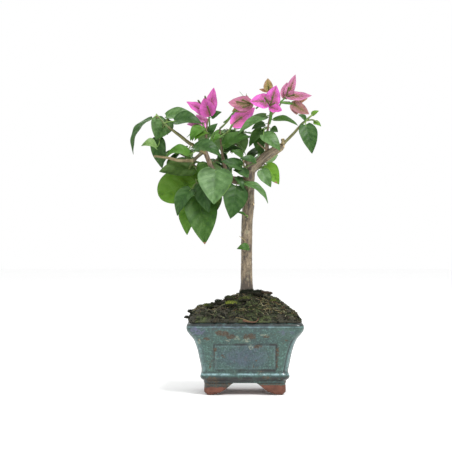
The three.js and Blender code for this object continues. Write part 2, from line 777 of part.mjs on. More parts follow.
// Seeded shoots: they leave the stem on its outer side, a golden share of their spread apart.
// A shoot or leaf that would leave the space or touch another piece is left out.
function makeShoots(mass, seed) {
  const random = stream(seed);
  const stem = mass.curves[0];
  const middle = at(mass.space[0]);
  const outward = Math.atan2(middle.y, middle.x - seatAcross);
  for (let number = 0; number < mass.shoots; number++) {
    const start = stem.getPoint(mix(0.3, 0.98, (number + random()) / mass.shoots));
    const spin = outward + shootSpread * (((number * goldenShare + random() * 0.2) % 1) - 0.5);
    const rise = mix(-0.5, 0.8, random());
    const reach = shootLength * mix(0.7, 1.2, random());
    const level = new THREE.Vector3(Math.cos(spin), Math.sin(spin), 0);
    const end = start.clone()
      .addScaledVector(level, reach * Math.cos(rise))
      .addScaledVector(up, reach * Math.sin(rise));
    const draws = leafPlaces.map(() => [random(), random(), random()]);
    const twig = tube([start, end], [twigRadius, twigRadius * 0.6], 3, 1);
    if (!inSpace(end, mass.space) || !isClear(twig, mass, true)) continue;
    const leaves = draws
      .map((draw, place) => makeShootLeaf(place, start.clone().lerp(end, leafPlaces[place]), level, draw))
      .filter((leaf) => leaf.tip.y > shootBehind && inSpace(leaf.tip, mass.space))
      .filter((leaf) => isClear(leaf.body, mass, true) && isClear(leaf.stem, mass, false));
    if (leaves.length === 0) continue;
    keep(mass, twig, false);
    for (const leaf of leaves) {
      if (!isClear(leaf.body, mass, true)) continue;
      keep(mass, leaf.body, true);
      keep(mass, leaf.stem, false);
    }
  }
}

function makeMasses() {
  const entries = Object.entries(masses);
  entries.forEach(([, mass]) => makeWood(mass));
  entries.forEach(([, mass]) => makeShownLeaves(mass));
  entries.forEach(([, mass]) => makeBlossoms(mass));
  entries.forEach(([, mass], number) => makeShoots(mass, firstSeed + number));
  return entries.map(([name, mass]) => mesh(name, wasm.Manifold.union(mass.pieces), colours.leaf));
}

const plant = new THREE.Group();
plant.add(makePot(), ...makeFeet(), makeSoil(), ...makeLimbs(), ...makeMasses());

// The origin lies on the ground under the middle of the whole
const whole = new THREE.Box3().setFromObject(plant, true);
const centre = whole.getCenter(new THREE.Vector3());
plant.position.set(-centre.x, -centre.y, -whole.min.z);
plant.updateMatrixWorld(true);

export default plant;
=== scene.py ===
"""Looks of a small bougainvillea bonsai: bark, leaves, bracts, mossy soil and a glazed pot on four feet."""
import math

import bpy
import numpy as np
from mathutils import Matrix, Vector
from mathutils.bvhtree import BVHTree


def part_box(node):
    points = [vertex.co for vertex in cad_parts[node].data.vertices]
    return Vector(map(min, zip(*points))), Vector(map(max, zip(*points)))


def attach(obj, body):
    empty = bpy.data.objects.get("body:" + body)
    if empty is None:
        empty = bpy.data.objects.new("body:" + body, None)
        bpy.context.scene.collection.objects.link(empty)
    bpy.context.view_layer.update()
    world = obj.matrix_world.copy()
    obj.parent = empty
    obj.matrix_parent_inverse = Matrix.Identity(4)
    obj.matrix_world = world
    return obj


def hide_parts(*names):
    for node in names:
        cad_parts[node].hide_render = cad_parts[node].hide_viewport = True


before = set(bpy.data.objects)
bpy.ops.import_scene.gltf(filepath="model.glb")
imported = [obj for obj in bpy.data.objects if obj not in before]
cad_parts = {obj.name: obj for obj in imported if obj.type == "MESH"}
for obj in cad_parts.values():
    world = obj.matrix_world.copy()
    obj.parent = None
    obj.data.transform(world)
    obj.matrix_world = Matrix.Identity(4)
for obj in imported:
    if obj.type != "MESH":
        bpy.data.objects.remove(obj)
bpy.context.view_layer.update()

# Sizes are in millimetres in the plant's own frame, whose origin lies under the pot's middle at the
# height that the pot's source counts from. metres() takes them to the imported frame.
MM = 0.001
FOOT_BOTTOM = -1.4
pot_low, pot_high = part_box("pot")
foot_low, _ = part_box("pot_foot_front_left")
MIDDLE = np.array([
    (pot_low.x + pot_high.x) / 2 / MM,
    (pot_low.y + pot_high.y) / 2 / MM,
    foot_low.z / MM - FOOT_BOTTOM,
])

# Places on the plant are given as they look from the front: across, behind the trunk's plane, and up
EYE_DISTANCE = 1400
EYE_ACROSS = -21.4
EYE_HEIGHT = 189
PHOTO_WIDE = 519.8
SENSOR = 36

CLEAR = 0.3
UP = np.array([0.0, 0.0, 1.0])
TURN = 2 * math.pi
# Turn that some of the random angles are drawn from
DRAWN_TURN = 6.28


def metres(points):
    return (np.asarray(points, float) + MIDDLE) * MM


def at(place):
    across, behind, height = place
    nearness = 1 + behind / EYE_DISTANCE
    return np.array([
        EYE_ACROSS + (across - EYE_ACROSS) * nearness,
        behind,
        EYE_HEIGHT + (height - EYE_HEIGHT) * nearness,
    ])


def as_seen(points):
    """Across and up of points as they look from the front."""
    nearness = 1 + points[..., 1] / EYE_DISTANCE
    across = EYE_ACROSS + (points[..., 0] - EYE_ACROSS) / nearness
    height = EYE_HEIGHT + (points[..., 2] - EYE_HEIGHT) / nearness
    return across, height


def groups(line):
    """Groups of numbers in a line of a table, with a comma between them."""
    return [[float(word) for word in group.split()] for group in line.split(",")]


def places(line):
    """Places on the plant from a line of a table, three numbers to a place."""
    return [at(place) for place in groups(line)]


def lines(text):
    return text.strip().splitlines()


def stream(seed):
    """Repeatable random numbers from 0 to 1, one stream for each seed."""
    state = seed

    def draw():
        nonlocal state
        state = (state * 1664525 + 1013904223) % 2**32
        return state / 2**32

    return draw


def mix(low, high, share):
    return low + (high - low) * share


def unit(vector):
    vector = np.asarray(vector, float)
    return vector / np.maximum(np.linalg.norm(vector, axis=-1, keepdims=True), 1e-12)


def smooth_step(low, high, value):
    share = np.clip((value - low) / (high - low), 0, 1)
    return share * share * (3 - 2 * share)


def lattice(cell, seed):
    """Random value from 0 to 1 for each cell of a grid, by mixing the bits of its numbers."""
    n = cell[..., 0] * 73856093 ^ cell[..., 1] * 19349663 ^ cell[..., 2] * 83492791 ^ seed * 40503
    n = (n ^ (n >> 13)) * 1274126177 & 0xFFFFFFFF
    n = (n ^ (n >> 15)) * 668265263 & 0xFFFFFFFF
    return ((n ^ (n >> 16)) & 0xFFFF) / 65535


def noise(points, seed=0):
    """Smooth random values from 0 to 1 at points, one cell to a unit."""
    points = np.asarray(points, float)
    cell = np.floor(points).astype(np.int64)
    part = points - cell
    part = part * part * (3 - 2 * part)
    total = np.zeros(points.shape[:-1])
    for corner in range(8):
        step = np.array([corner & 1, corner >> 1 & 1, corner >> 2 & 1])
        weight = np.prod(np.where(step, part, 1 - part), axis=-1)
        total += weight * lattice(cell + step, seed)
    return total


def fractal(points, octaves=3, seed=0):
    total, size, whole = 0.0, 1.0, 0.0
    for octave in range(octaves):
        total = total + noise(points * 2**octave, seed + octave) * size
        whole += size
        size *= 0.5
    return total / whole


def lengths(path):
    """How far along a path each of its points lies."""
    return np.concatenate([[0], np.cumsum(np.linalg.norm(np.diff(path, axis=0), axis=1))])


def read_off(values, share):
    """Values that are given at even steps of a curve, at any share of it."""
    return np.interp(share * (len(values) - 1), np.arange(len(values)), values)


class Curve:
    """Centripetal Catmull-Rom curve through points, the same as the one that shapes the solids."""

    def __init__(self, points):
        self.points = np.asarray(points, float)

    def point(self, share):
        points = self.points
        last = len(points) - 1
        place = share * last
        start = min(int(place), last - 1)
        weight = place - start
        p1, p2 = points[start], points[start + 1]
        p0 = points[start - 1] if start > 0 else 2 * points[0] - points[1]
        p3 = points[start + 2] if start + 2 <= last else 2 * points[last] - points[last - 1]
        d0, d1, d2 = (max(np.sum((a - b) ** 2) ** 0.25, 1e-4) for a, b in ((p0, p1), (p1, p2), (p2, p3)))
        t1 = ((p1 - p0) / d0 - (p2 - p0) / (d0 + d1) + (p2 - p1) / d1) * d1
        t2 = ((p2 - p1) / d1 - (p3 - p1) / (d1 + d2) + (p3 - p2) / d2) * d1
        c2 = -3 * p1 + 3 * p2 - 2 * t1 - t2
        c3 = 2 * p1 - 2 * p2 + t1 + t2
        return p1 + weight * (t1 + weight * (c2 + weight * c3))

    def row(self, count):
        return np.array([self.point(step / (count - 1)) for step in range(count)])

    def even(self, spacing):
        """Points about that far apart along the curve, and the share of the curve at each."""
        fine = 24 * (len(self.points) - 1) + 1
        path = self.row(fine)
        along = lengths(path)
        count = max(int(along[-1] / spacing) + 1, 4)
        wanted = np.linspace(0, along[-1], count)
        share = np.interp(wanted, along, np.linspace(0, 1, fine))
        return np.stack([np.interp(wanted, along, path[:, axis]) for axis in range(3)], axis=1), share, wanted


class Heap:
    """Points and faces that grow into one joined piece. Each face has a number of its material."""

    def __init__(self, *values):
        self.points, self.faces, self.slots, self.count = [], [], [], 0
        self.values = {key: [] for key in values}

    def add(self, points, *parts, **values):
        """parts: pairs of faces, numbered from 0, and their slots. values: one number for each point."""
        points = np.asarray(points, float).reshape(-1, 3)
        for faces, slots in parts:
            self.faces.append(np.asarray(faces, int) + self.count)
            self.slots.append(np.broadcast_to(np.asarray(slots, int), len(faces)))
        for key, rows in self.values.items():
            rows.append(np.broadcast_to(np.asarray(values.get(key, 0.0), float).reshape(-1), len(points)))
        self.points.append(points)
        self.count += len(points)

    def piece(self, name, materials, slot, replaced=(), smooth=True):
        mesh = bpy.data.meshes.new(name)
        points = np.concatenate(self.points)
        sizes = np.concatenate([np.full(len(f), f.shape[1]) for f in self.faces])
        corners = np.concatenate([f.ravel() for f in self.faces])
        mesh.vertices.add(len(points))
        mesh.vertices.foreach_set("co", metres(points).astype(np.float32).ravel())
        mesh.loops.add(len(corners))
        mesh.loops.foreach_set("vertex_index", corners.astype(np.int32))
        mesh.polygons.add(len(sizes))
        mesh.polygons.foreach_set("loop_start", np.concatenate([[0], np.cumsum(sizes)[:-1]]).astype(np.int32))
        mesh.polygons.foreach_set("material_index", np.concatenate(self.slots).astype(np.int32))
        mesh.polygons.foreach_set("use_smooth", np.full(len(sizes), smooth))
        for key, rows in self.values.items():
            attribute = mesh.attributes.new(key, "FLOAT", "POINT")
            attribute.data.foreach_set("value", np.concatenate(rows).astype(np.float32))
        mesh.update(calc_edges=True)
        mesh.validate()
        for material in materials:
            mesh.materials.append(material)
        thing = place_in_scene(name, mesh)
        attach(thing, "root")
        if replaced:
            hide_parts(*replaced)
        return thing


def grid_faces(rows, columns, closed=False):
    """Quads of a grid of points. A closed grid joins its last column to its first."""
    across = np.arange(columns if closed else columns - 1)
    row, column = np.meshgrid(np.arange(rows - 1), across, indexing="ij")
    after = (column + 1) % columns
    faces = np.stack([row * columns + column, row * columns + after,
                      (row + 1) * columns + after, (row + 1) * columns + column], axis=-1)
    return faces.reshape(-1, 4)


def fan(ring, middle, turn=False):
    """Triangles from a ring of point numbers to one point."""
    ring = np.asarray(ring)
    faces = np.stack([ring, np.roll(ring, -1), np.full(len(ring), middle)], axis=1)
    return faces[:, ::-1] if turn else faces


def add_rings(heap, points, rows, side, foot=None, tip=None, flip=False, **values):
    """Closed body of rings, whose last two points close its ends. side, foot and tip are slots."""
    columns = (len(points) - 2) // rows
    count = rows * columns
    faces = grid_faces(rows, columns, closed=True)
    heap.add(
        points,
        (faces[:, ::-1] if flip else faces, side),
        (fan(np.arange(columns), count, turn=not flip), side if foot is None else foot),
        (fan(np.arange(count - columns, count), count + 1, turn=flip), side if tip is None else tip),
        **values,
    )


def colour(code):
    """Linear colour from a code such as 5F8A87."""
    parts = [int(code[i:i + 2], 16) / 255 for i in (0, 2, 4)]
    return tuple(c / 12.92 if c <= 0.04045 else ((c + 0.055) / 1.055) ** 2.4 for c in parts) + (1.0,)


def blend_code(one, other, share):
    pairs = [(int(one[i:i + 2], 16), int(other[i:i + 2], 16)) for i in (0, 2, 4)]
    return "".join(f"{round(mix(low, high, share)):02X}" for low, high in pairs)


def set_inputs(node, values):
    """Sets a node's inputs. A socket is linked, and a code such as 5F8A87 stands for its colour."""
    for key, value in values.items():
        target = node.inputs[key]
        if isinstance(value, bpy.types.NodeSocket):
            node.id_data.links.new(value, target)
        else:
            target.default_value = colour(value) if isinstance(value, str) else value


def new_material(name):
    material = bpy.data.materials.new(name)
    material.use_nodes = True
    return material, material.node_tree.nodes["Principled BSDF"]


def plain(name, code, roughness=0.5, shine=0.5, through=0.0):
    """One base colour, for what is dealt out by leaf, bract or twig."""
    material, shader = new_material(name)
    set_inputs(shader, {"Base Color": code, "Roughness": roughness, "Specular IOR Level": shine})
    if through:
        depth = {"Subsurface Radius": (0.004, 0.004, 0.002), "Subsurface Scale": 0.4}
        set_inputs(shader, {"Subsurface Weight": through, **depth})
    return material


def plain_set(name, codes, **look):
    return [plain(f"{name}_{number}", code, **look) for number, code in enumerate(codes)]


class Nodes:
    """Short way to wire a material's nodes."""

    def __init__(self, name):
        self.material, self.shader = new_material(name)
        self.place = self.add("TexCoord").outputs["Object"]

    def add(self, kind, inputs=None):
        node = self.material.node_tree.nodes.new(f"ShaderNode{kind}")
        set_inputs(node, inputs or {})
        return node

    def noise(self, scale, detail=2, rough=0.5, stretch=None):
        place = self.place
        if stretch:
            place = self.add("Mapping", {"Vector": place, "Scale": stretch}).outputs["Vector"]
        inputs = {"Vector": place, "Scale": scale, "Detail": detail, "Roughness": rough}
        return self.add("TexNoise", inputs).outputs["Fac"]

    def value(self, name):
        node = self.add("Attribute")
        node.attribute_name = name
        return node.outputs["Fac"]

    def steep(self, source, low, high, top=1.0):
        inputs = {"Value": source, "From Min": low, "From Max": high, "To Max": top}
        return self.add("MapRange", inputs).outputs["Result"]

    def times(self, one, other, how="MULTIPLY"):
        node = self.add("Math", {0: one, 1: other})
        node.operation = how
        return node.outputs["Value"]

    def mix(self, share, one, other):
        node = self.add("Mix")
        node.data_type = "RGBA"
        set_inputs(node, {"Factor": share, "A": one, "B": other})
        return node.outputs["Result"]

    def speckle(self, base, code, scale, detail, rough, low, high, top=1.0):
        """Another colour over a base, where a noise rises from low to high."""
        return self.mix(self.steep(self.noise(scale, detail, rough), low, high, top), base, code)

    def on_noise(self, name, strength, scale, rough):
        """A value of the mesh on top of a fine noise, which frays its edge."""
        return self.times(self.times(self.value(name), strength), self.noise(scale, 6, rough), how="ADD")

    def bump(self, height, strength, distance):
        node = self.add("Bump", {"Height": height, "Strength": strength, "Distance": distance})
        set_inputs(self.shader, {"Normal": node.outputs["Normal"]})

    def finish(self, base, roughness):
        set_inputs(self.shader, {"Base Color": base, "Roughness": roughness})
        return self.material


# Sizes of the pot, its feet and the mound, the same as the solids'
FOOT_TOP = 12.5
RIM_TOP = 81.5
SHALLOWER = 14
POT_CORNER = 8
POT_OUTSIDE = [
    (FOOT_TOP, 46.4), (15, 46.9), (17, 49.2), (19.2, 50.4), (22, 50), (24.6, 48.9), (41.5, 51.7),
    (48.5, 53.2), (56, 55.4), (62.5, 58.2), (68.5, 62.7), (72, 64.9), (75.2, 65.7), (78.6, 65.2),
    (81, 63.2), (RIM_TOP, 61.6),
]
POT_INSIDE = [(RIM_TOP, 58.5), (79, 57.5), (68, 54), (56, 49.5), (41.5, 45.7), (19.5, 41)]
PANEL_HALF_WIDE = 34.9
SIDE_PANEL_HALF_WIDE = 21
PANEL_BOTTOM = 27
PANEL_TOP = 56.5
FOOT_OUTSIDE = 46
FRONT_ARCH = (11.5, 31)
SIDE_ARCH = (6, 18.5)
ARCH_SLOPE = 0.62
SEAT_HEIGHT = 113
SEAT_ACROSS = 2.4
MOUND_HALF_WIDTH = 63.6
MOUND_HALF_DEPTH = 49.6
MOUND_EDGE = (2.4, 11.4)
MOUND_SHOULDER = (4.5, 22)
MOUND_FALL = (2.2, 1.65)
BLOCK_START = 0.62
MOUND_WAVES = (
    (1.3, 0.145, -0.87, 0.17, 0.45), (0.9, 0.31, 1.9, -0.26, -0.1), (0.7, -0.4, 0, 0.37, 0.6),
)

# Leaves, bracts and shoots, the same as the solids'
LEAF_FOLD = 0.12
BRACT_CUP = -0.06
BRACT_OVERLAP = 0.05
STALK_MEETS_RIB = 0.06
FIRST_SEED = 100
GOLDEN_SHARE = 0.618
SHOOT_SPREAD = 4.4
LEAF_PLACES = (0.34, 0.56, 0.76, 0.9, 1)
SHOOT_LENGTH = 17
FILL_LEAF_LENGTH = 32
FILL_LEAF_STALK = 6
SHOOT_BEHIND = 6
# Rings of the solids that stand for large leaves and for the rest: share of the length, and of the width
LEAF_STATIONS = ((0, 0.2), (0.1, 0.82), (0.28, 1), (0.55, 0.83), (0.8, 0.44))
FILL_STATIONS = ((0, 0.3), (0.26, 1), (0.62, 0.72))


def read_limbs(text):
    """Limbs by name: the sides of the solid, places along it, and its radius at each of them."""
    limbs = {}
    for line in lines(text):
        name, rest = line.split(" ", 1)
        (sides,), *points, radii = groups(rest)
        limbs[name] = (int(sides), [at(place) for place in points], radii)
    return limbs


LIMBS = read_limbs("""
trunk 9, 2.4 0 113.3, 2.4 0 117, 2.3 0 124, 2.2 0.5 150, 3 1 195, 4.4 1 214, 5.2 0.5 229, 5.7 0 241, \
6 0 253, 6.4 0 260.5, 9 7.5 6.8 6.4 6.5 6.7 6.1 5.8 6.5 5
bough_right 8, 6 0 254, 15.4 -1 261.5, 24.6 -2 270, 35 -3 277, 44.5 -4 281.5, 5.6 5.2 4.8 4.2 3.4
bough_right_upright 6, 26 -2 271, 25.6 -3 282, 25 -4 292, 2.6 2.1 1.8
bough_right_tip 5, 42 -4 281, 56.8 -5 296, 66 -6 306.6, 1.8 1.6 1.3
bough_left 6, 5 0 238, -14 -5 241, -28 -8 246, -37.7 -10 254.6, 3.6 3.2 3 2.8
bough_left_upper 6, -37.4 -10 254, -42.1 -10 266, -45.5 -9 276.4, -43.6 -8 288, 2.8 2.7 2.6 2
bough_left_bend 5, -44.5 -9 276, -51 -8 271.5, -59.3 -6 263.8, 2.1 2 1.9
bough_left_spur 5, -58.5 -6 264.2, -75.5 -3 264.4, -90 0 267.6, -104.1 3 269.3, 1.9 1.8 1.6 1.2
bough_left_high 5, -45 -9 277.5, -61.2 -5 282.9, -75.4 -3 293.7, -88 -2 303, 2.2 2 1.8 1.5
bough_middle 5, -18 -6 242, -22.5 -4 256, -25.5 -2 270, 2.4 2.2 1.8
bough_back_left 6, 5 0 243, -12 18 243.5, -30 32 252, 3.4 2.8 2
bough_back_right 6, 6 0 248, 14 17 256, 24 32 264, 3.2 2.6 2
bough_back_top 6, 6 0 256, 2 15 263, -6 27 271, 3 2.4 1.8
""")


def read_masses(text):
    """Masses by name. A line adds a part to the last mass, or else starts the mass that it names."""
    masses = {}
    for line in lines(text):
        kind, rest = line.split(" ", 1)
        if kind in ("wood", "leaf", "more", "blossom"):
            mass[kind].append(rest)
        else:
            shoots, middle, halves = groups(rest)
            mass = {"shoots": int(shoots[0]), "space": (at(middle), np.array(halves))}
            mass.update(wood=[], leaf=[], more=[], blossom=[])
            masses[kind] = mass
    return masses


# A mass has its number of shoots, and the middle and half sizes of its space. Wood has places along a twig.
# A leaf has foot, tip, width, arch, tilt, turn and tint. So has a leaf marked more, which fills the crown.
# A blossom has its middle, what leads from it to each bract's tip, and their width, tilt and turn.
MASSES = read_masses("""
foliage_left_outer 4, -96 14 290, 36 36 42
wood -87 -2 302, -95 -2 310, -101.7 -2 317.8
wood -91 -2 306, -96 8 299, -98 9 289
wood -91 -2 306, -89 4 311, -87 7 314
leaf -104.5 -5 313, -128 -12 271, 21 0.2 62 -62 deep
leaf -90 7 312, -102 6.5 288.5, 28 0.08 78 -10 sheen
leaf -100 12 291, -94.8 14 255, 20 0.06 80 -24 deep
leaf -101 -1 278.5, -119 -7 281, 17 0.3 48 -20 pale
leaf -91 10 315, -53 12 311.5, 19 0.16 46 5 sheen
leaf -81.5 -8 309, -48.5 -12 306, 20 0.2 52 5 deep
foliage_left_middle 4, -76 16 244, 38 32 36
wood -58.5 -6 264.5, -63 0 256, -66 6 250
wood -60 -3 260, -58 3 259, -55 8 257
leaf -57 4 256, -98.5 -1 251.5, 26 0.05 62 -8 dark
leaf -52 13 242.5, -99.2 8 224, 41 0.05 72 -12 broad
more -46 12 262, -52 10 240, 16 0.08 80 10 fresh
foliage_left_top 4, -48 12 300, 34 38 36
wood -43.8 -8 286, -44 -8 299, -42 -9 312
wood -43.8 -8 297, -47 -10 304, -48 -8 308
leaf -47.5 -14 303, -62.6 -20 287.1, 16 0.2 60 -20 fresh
leaf -42.5 -14 296, -57.7 -24 287, 12 0.2 50 -20 lime
leaf -41 -10 296, -31 -14 307, 9 0.2 60 20 deep
leaf -38.4 -10 314, -26.3 -13 320.2, 9 0.15 60 20 deep
blossom -41 -10 317, 5.5 2 31, -26.5 -2 14, -8 -16 15, 17 70 -15
blossom -46.5 -8 308, -20.4 -9 -2, -13.6 -9 -17, -9 5 9, 12 85 0
foliage_centre_low 4, -44 12 224, 36 34 36
wood -36 -9.5 252, -44 -12 246, -52 -11 234, -56 -9 226
wood -47 -12 241, -58 -12 236, -60 -14 230
leaf -32.8 -20 254.5, -35.3 -36 213.8, 40 0.05 80 4 heart
leaf -60.5 -17 232, -77.5 -22 200.5, 21 0.2 72 -26 deep
leaf -53.5 -12 223.5, -45.7 -22 167.8, 37 0.04 82 6 mid
leaf -61.5 -4 219, -66.2 -8 178.5, 23 0.06 82 -20 lime
leaf -50.5 -18 237.9, -40.8 -27 204, 20 0.05 76 -14 deep
leaf -36 -5 230, -38.2 -8 198.5, 21 0.05 80 0 dark
foliage_junction 0, -45 -28 275, 20 10 16
wood -45 -9 272, -50 -18 275, -55 -24 277
leaf -59.5 -28 278.5, -26.5 -32 266.5, 21 0.28 46 0 deep
leaf -62 -21 270, -90.9 -18 268.6, 18 0.3 40 -5 fresh
more -28 8 272, -20 8 257, 12 0.08 80 0 deep
foliage_centre_top 3, -12 10 290, 34 34 34
wood -25.2 -2 268, -26.8 -1.5 282, -28 -1 293, -28.3 -2 302
wood -28.3 -2 301, -20 -6 309, -10.5 -9 321.5, 1 -12 328
wood -27.5 -2 292, -19 -6 297.5, -14.5 -9 305.5
leaf -25 -8 281, 6.2 -14 291.9, 20 0.16 52 0 mid
leaf -24 2 275, -4.1 0 277.6, 12 0.12 40 0 deep
leaf -26 -6 293, -36 -12 286, 10 0.2 55 -20 fresh
leaf -24 0 296, -14 -3 291, 12 0.2 55 20 mid
blossom 3 -12 330, -21 -6 1, -8 8 13, 4 -12 14, 19 62 0
blossom -14.5 -9 306, 26 3 20, 4 8 18, -2 14 4, 18 85 10
foliage_right_top 3, 32 16 302, 34 36 34
wood 25 -4 290, 26.9 -5 302, 28.1 -5 310, 29.8 -8 318
wood 29 -6 315, 38 -1 324, 43 0 331, 52 -2 331.5
wood 29 -6 315, 31.5 -3 330, 28.8 -4 343
leaf 25.8 -9 315.4, -7.7 -16 294.3, 13 0.17 52 -10 sheen
leaf 32.8 -9 311, 61.6 -13 304.3, 10 0.2 50 15 mid
leaf 23.5 1 306.3, 7.9 0 300, 10 0.15 60 -10 deep
leaf 30.4 -6 301.3, 38.4 -9 297.1, 9 0.1 70 10 deep
leaf 20.5 -10 294.5, 40.8 -15 275.5, 19 0.14 72 26 sheen
leaf 20.5 3 301, 5.1 2 279.9, 13 0.1 65 -20 mid
more 14 6 290, 20.6 6 268, 12 0.08 80 0 mid
more 24.5 9 290, 19.6 8 281, 8 0.1 80 0 mid
more 23.5 4 296, 8 4 292.5, 8 0.14 66 -8 dark
blossom 30.1 -18 327.5, -23.3 -6 4.5, 6 -4 23, 12.2 -15 -5.6, 19 72 0
blossom 28.6 -5 343.5, -2 -3 15.5, -12 -2 3, 5 8 7, 11 85 0
blossom 51.1 -4 338, 7.3 2 25.8, 25.8 -6 0.3, -7 12 10, 15 78 -15
blossom 54.5 -2 330, 19.2 -5 -12, 17.6 10 4.8, 3.5 -8 -13, 14 90 0
foliage_right_tip 3, 74 10 296, 24 32 30
wood 65 -6 305.5, 74 -7 313.5, 81.8 -8 320
wood 70 -6.5 310, 78 -5 311, 84 -5 308
leaf 69.8 -9 306, 77.6 -14 272, 21 0.06 82 8 deep
leaf 70.5 -8 311, 61.5 -11 317, 7 0.15 55 -10 deep
leaf 77 -7 316.5, 85.5 -8 321.5, 6 0.15 55 20 bright
leaf 79 -4 308, 88 -4 303.5, 8 0.15 50 20 bright
foliage_right_low 3, 28 16 240, 26 32 30
wood 8 0 250, 16 1 255, 22 2 258
leaf 18.6 -4 254, 30.3 -8 233.6, 16 0.06 76 14 sheen
leaf 24.8 6 259.5, 39.6 3 236.8, 19 0.05 80 4 spotted
foliage_fork 0, -6 -20 262, 22 12 16
wood 5 -2 250, 1 -10 254, -1 -13 260, -1 -14 266
wood 0 -11 256, 8 -13 260, 13 -14 262
leaf -2.5 -16 257.6, -27 -22 263.5, 15 0.07 62 -4 deep
leaf -2 -15 269, -16 -18 276, 10 0.12 50 -10 mid
leaf 13.5 -17 262.8, -6.1 -24 266, 11 0.12 52 0 deep
leaf 5 -15 247.6, -13.5 -19 253.5, 12 0.1 58 -6 deep
foliage_below_fork 0, 0 -18 224, 20 12 26
wood 4 -2 236, -1 -10 238, -5 -13 240
leaf -10 -17 236, -16.4 -24 197.2, 29 0.05 82 8 deep
leaf -1.5 -14 238, 27 -16 214.5, 13 0.22 45 30 sheen
leaf -9.5 -15 246, -0.8 -20 230, 9 0.1 66 24 deep
foliage_back_left 9, -58 46 250, 48 42 44
wood -28 31 251, -44 40 258, -60 47 265, -74 52 272
wood -40 38 258, -46 50 254, -50 60 250
foliage_back_right 8, 20 44 256, 28 42 42
wood 23 31 263, 31 40 268, 38 48 273, 44 56 277
foliage_back_top 8, -8 44 290, 42 42 36
wood -5.5 26 270, -8 34 281, -10 42 293, -12 50 304
shoot_high 0, -3 -10 202, 10 6 6
wood 3 0 199, 3 -6 200, 3 -9 201
leaf 1 -10 201.5, -11 -13 205, 5 0.12 40 -10 mid
shoot_low 0, -1 -10 164, 10 6 6
wood 3 0 163, 4 -6 164, 4.5 -9 164.5
leaf 5.5 -10 163.8, -9 -14 162.6, 10 0.2 62 -6 mid
""")

# Where the photograph shows sky through the crown: across and up of the middle, and the half sizes
SKY = groups("""
    80 312 9 7, -113 297 6 14, -73 299 9 8, -79 288 10 5, -90 262 5 5, -54 267 6 5, -19 272 7 4.5,
    -71 270 5 3, 12 283 6 5, 4 276 5 4, 49 297 12 9, 44 314 9 5, 14 301 7 7, -60 300 4 6, -4 300 5 4,
    -2 312 7 6
""")

# Bark: the colours of the fissures, the plates and the ridges
BARK_SETS = {
    "trunk": ("42382E", "71634E", "8E8069"),
    "bough": ("433428", "715E49", "8B785E"),
    "olive": ("404023", "5F5F33", "7B7A4D"),
    "spur": ("554A2C", "7C6E4B", "988A66"),
    "bend": ("37301E", "57503A", "706648"),
    "twig": ("485127", "5E7335", "7B904F"),
}
LIMB_BARK = {
    "trunk": "trunk", "bough_right": "trunk", "bough_left_spur": "spur",
    "bough_left_bend": "bend", "bough_left_high": "olive", "bough_right_tip": "olive",
}
CUT_WOOD = len(BARK_SETS)
LICHEN = "9A9E7E"
# How deep the relief of a twig's bark is, and how many fissures go to a millimetre
TWIG_BARK = (0.06, 1.4)


def bark_slot(name):
    return list(BARK_SETS).index(name)


def bark_materials():
    made = []
    for name, (fissure, plate, ridge) in BARK_SETS.items():
        nodes = Nodes(f"bark_{name}")
        relief = nodes.value("relief")
        base = nodes.mix(nodes.steep(relief, 0.15, 0.5), fissure, plate)
        base = nodes.mix(nodes.steep(relief, 0.55, 0.9), base, ridge)
        base = nodes.speckle(base, fissure, 900, 3, 0.5, 0.52, 0.72, 0.5)
        base = nodes.speckle(base, blend_code(ridge, LICHEN, 0.6), 160, 3, 0.5, 0.58, 0.7, 0.35)
        nodes.bump(nodes.noise(1500, detail=3, stretch=(1, 1, 0.35)), 0.5, 0.0004)
        made.append(nodes.finish(base, nodes.steep(relief, -1.0, 2.0)))
    return made + [plain("cut_wood", "C9B48C", roughness=0.8, shine=0.2)]


def path_frames(points):
    """Direction of a path at its points, and two unit vectors across it, carried along without twist."""
    along = unit(np.gradient(points, axis=0))
    across = np.array([0.0, 1.0, 0.0] if abs(along[0][1]) < 0.8 else [1.0, 0.0, 0.0])
    rows = []
    for direction in along:
        across = unit(across - direction * (across @ direction))
        rows.append(across)
    across = np.array(rows)
    return along, across, np.cross(along, across)


def ring_ways(path, sides):
    """Unit vectors from a path out to the corners of a ring round each of its points, and their angles."""
    _, across, over = path_frames(path)
    angle = np.arange(sides) / sides * TURN
    ways = across[:, None] * np.cos(angle)[None, :, None] + over[:, None] * np.sin(angle)[None, :, None]
    return ways, angle


def add_tube(heap, path, radii, sides, slot=0, tip_slot=None, relief=None, dome=0.6):
    """Closed tube along a path. relief gives what is added to its radius and a shade, at places on it."""
    path = np.asarray(path, float)
    radii = np.broadcast_to(np.asarray(radii, float), len(path))
    ways, angle = ring_ways(path, sides)
    rise, shade = np.zeros((len(path), sides)), np.full((len(path), sides), 0.5)
    if relief is not None:
        rise, shade = relief(np.stack([
            radii[:, None] * np.cos(angle), radii[:, None] * np.sin(angle),
            np.broadcast_to(lengths(path)[:, None], (len(path), sides)),
        ], axis=-1))
    ring = path[:, None] + ways * (radii[:, None] + rise)[..., None]
    end = path[-1:] + path_frames(path)[0][-1:] * radii[-1] * dome
    points = np.concatenate([ring.reshape(-1, 3), path[:1], end])
    shade = np.concatenate([shade.reshape(-1), shade[0, :1], shade[-1, :1]])
    add_rings(heap, points, len(path), slot, tip=tip_slot, relief=shade)


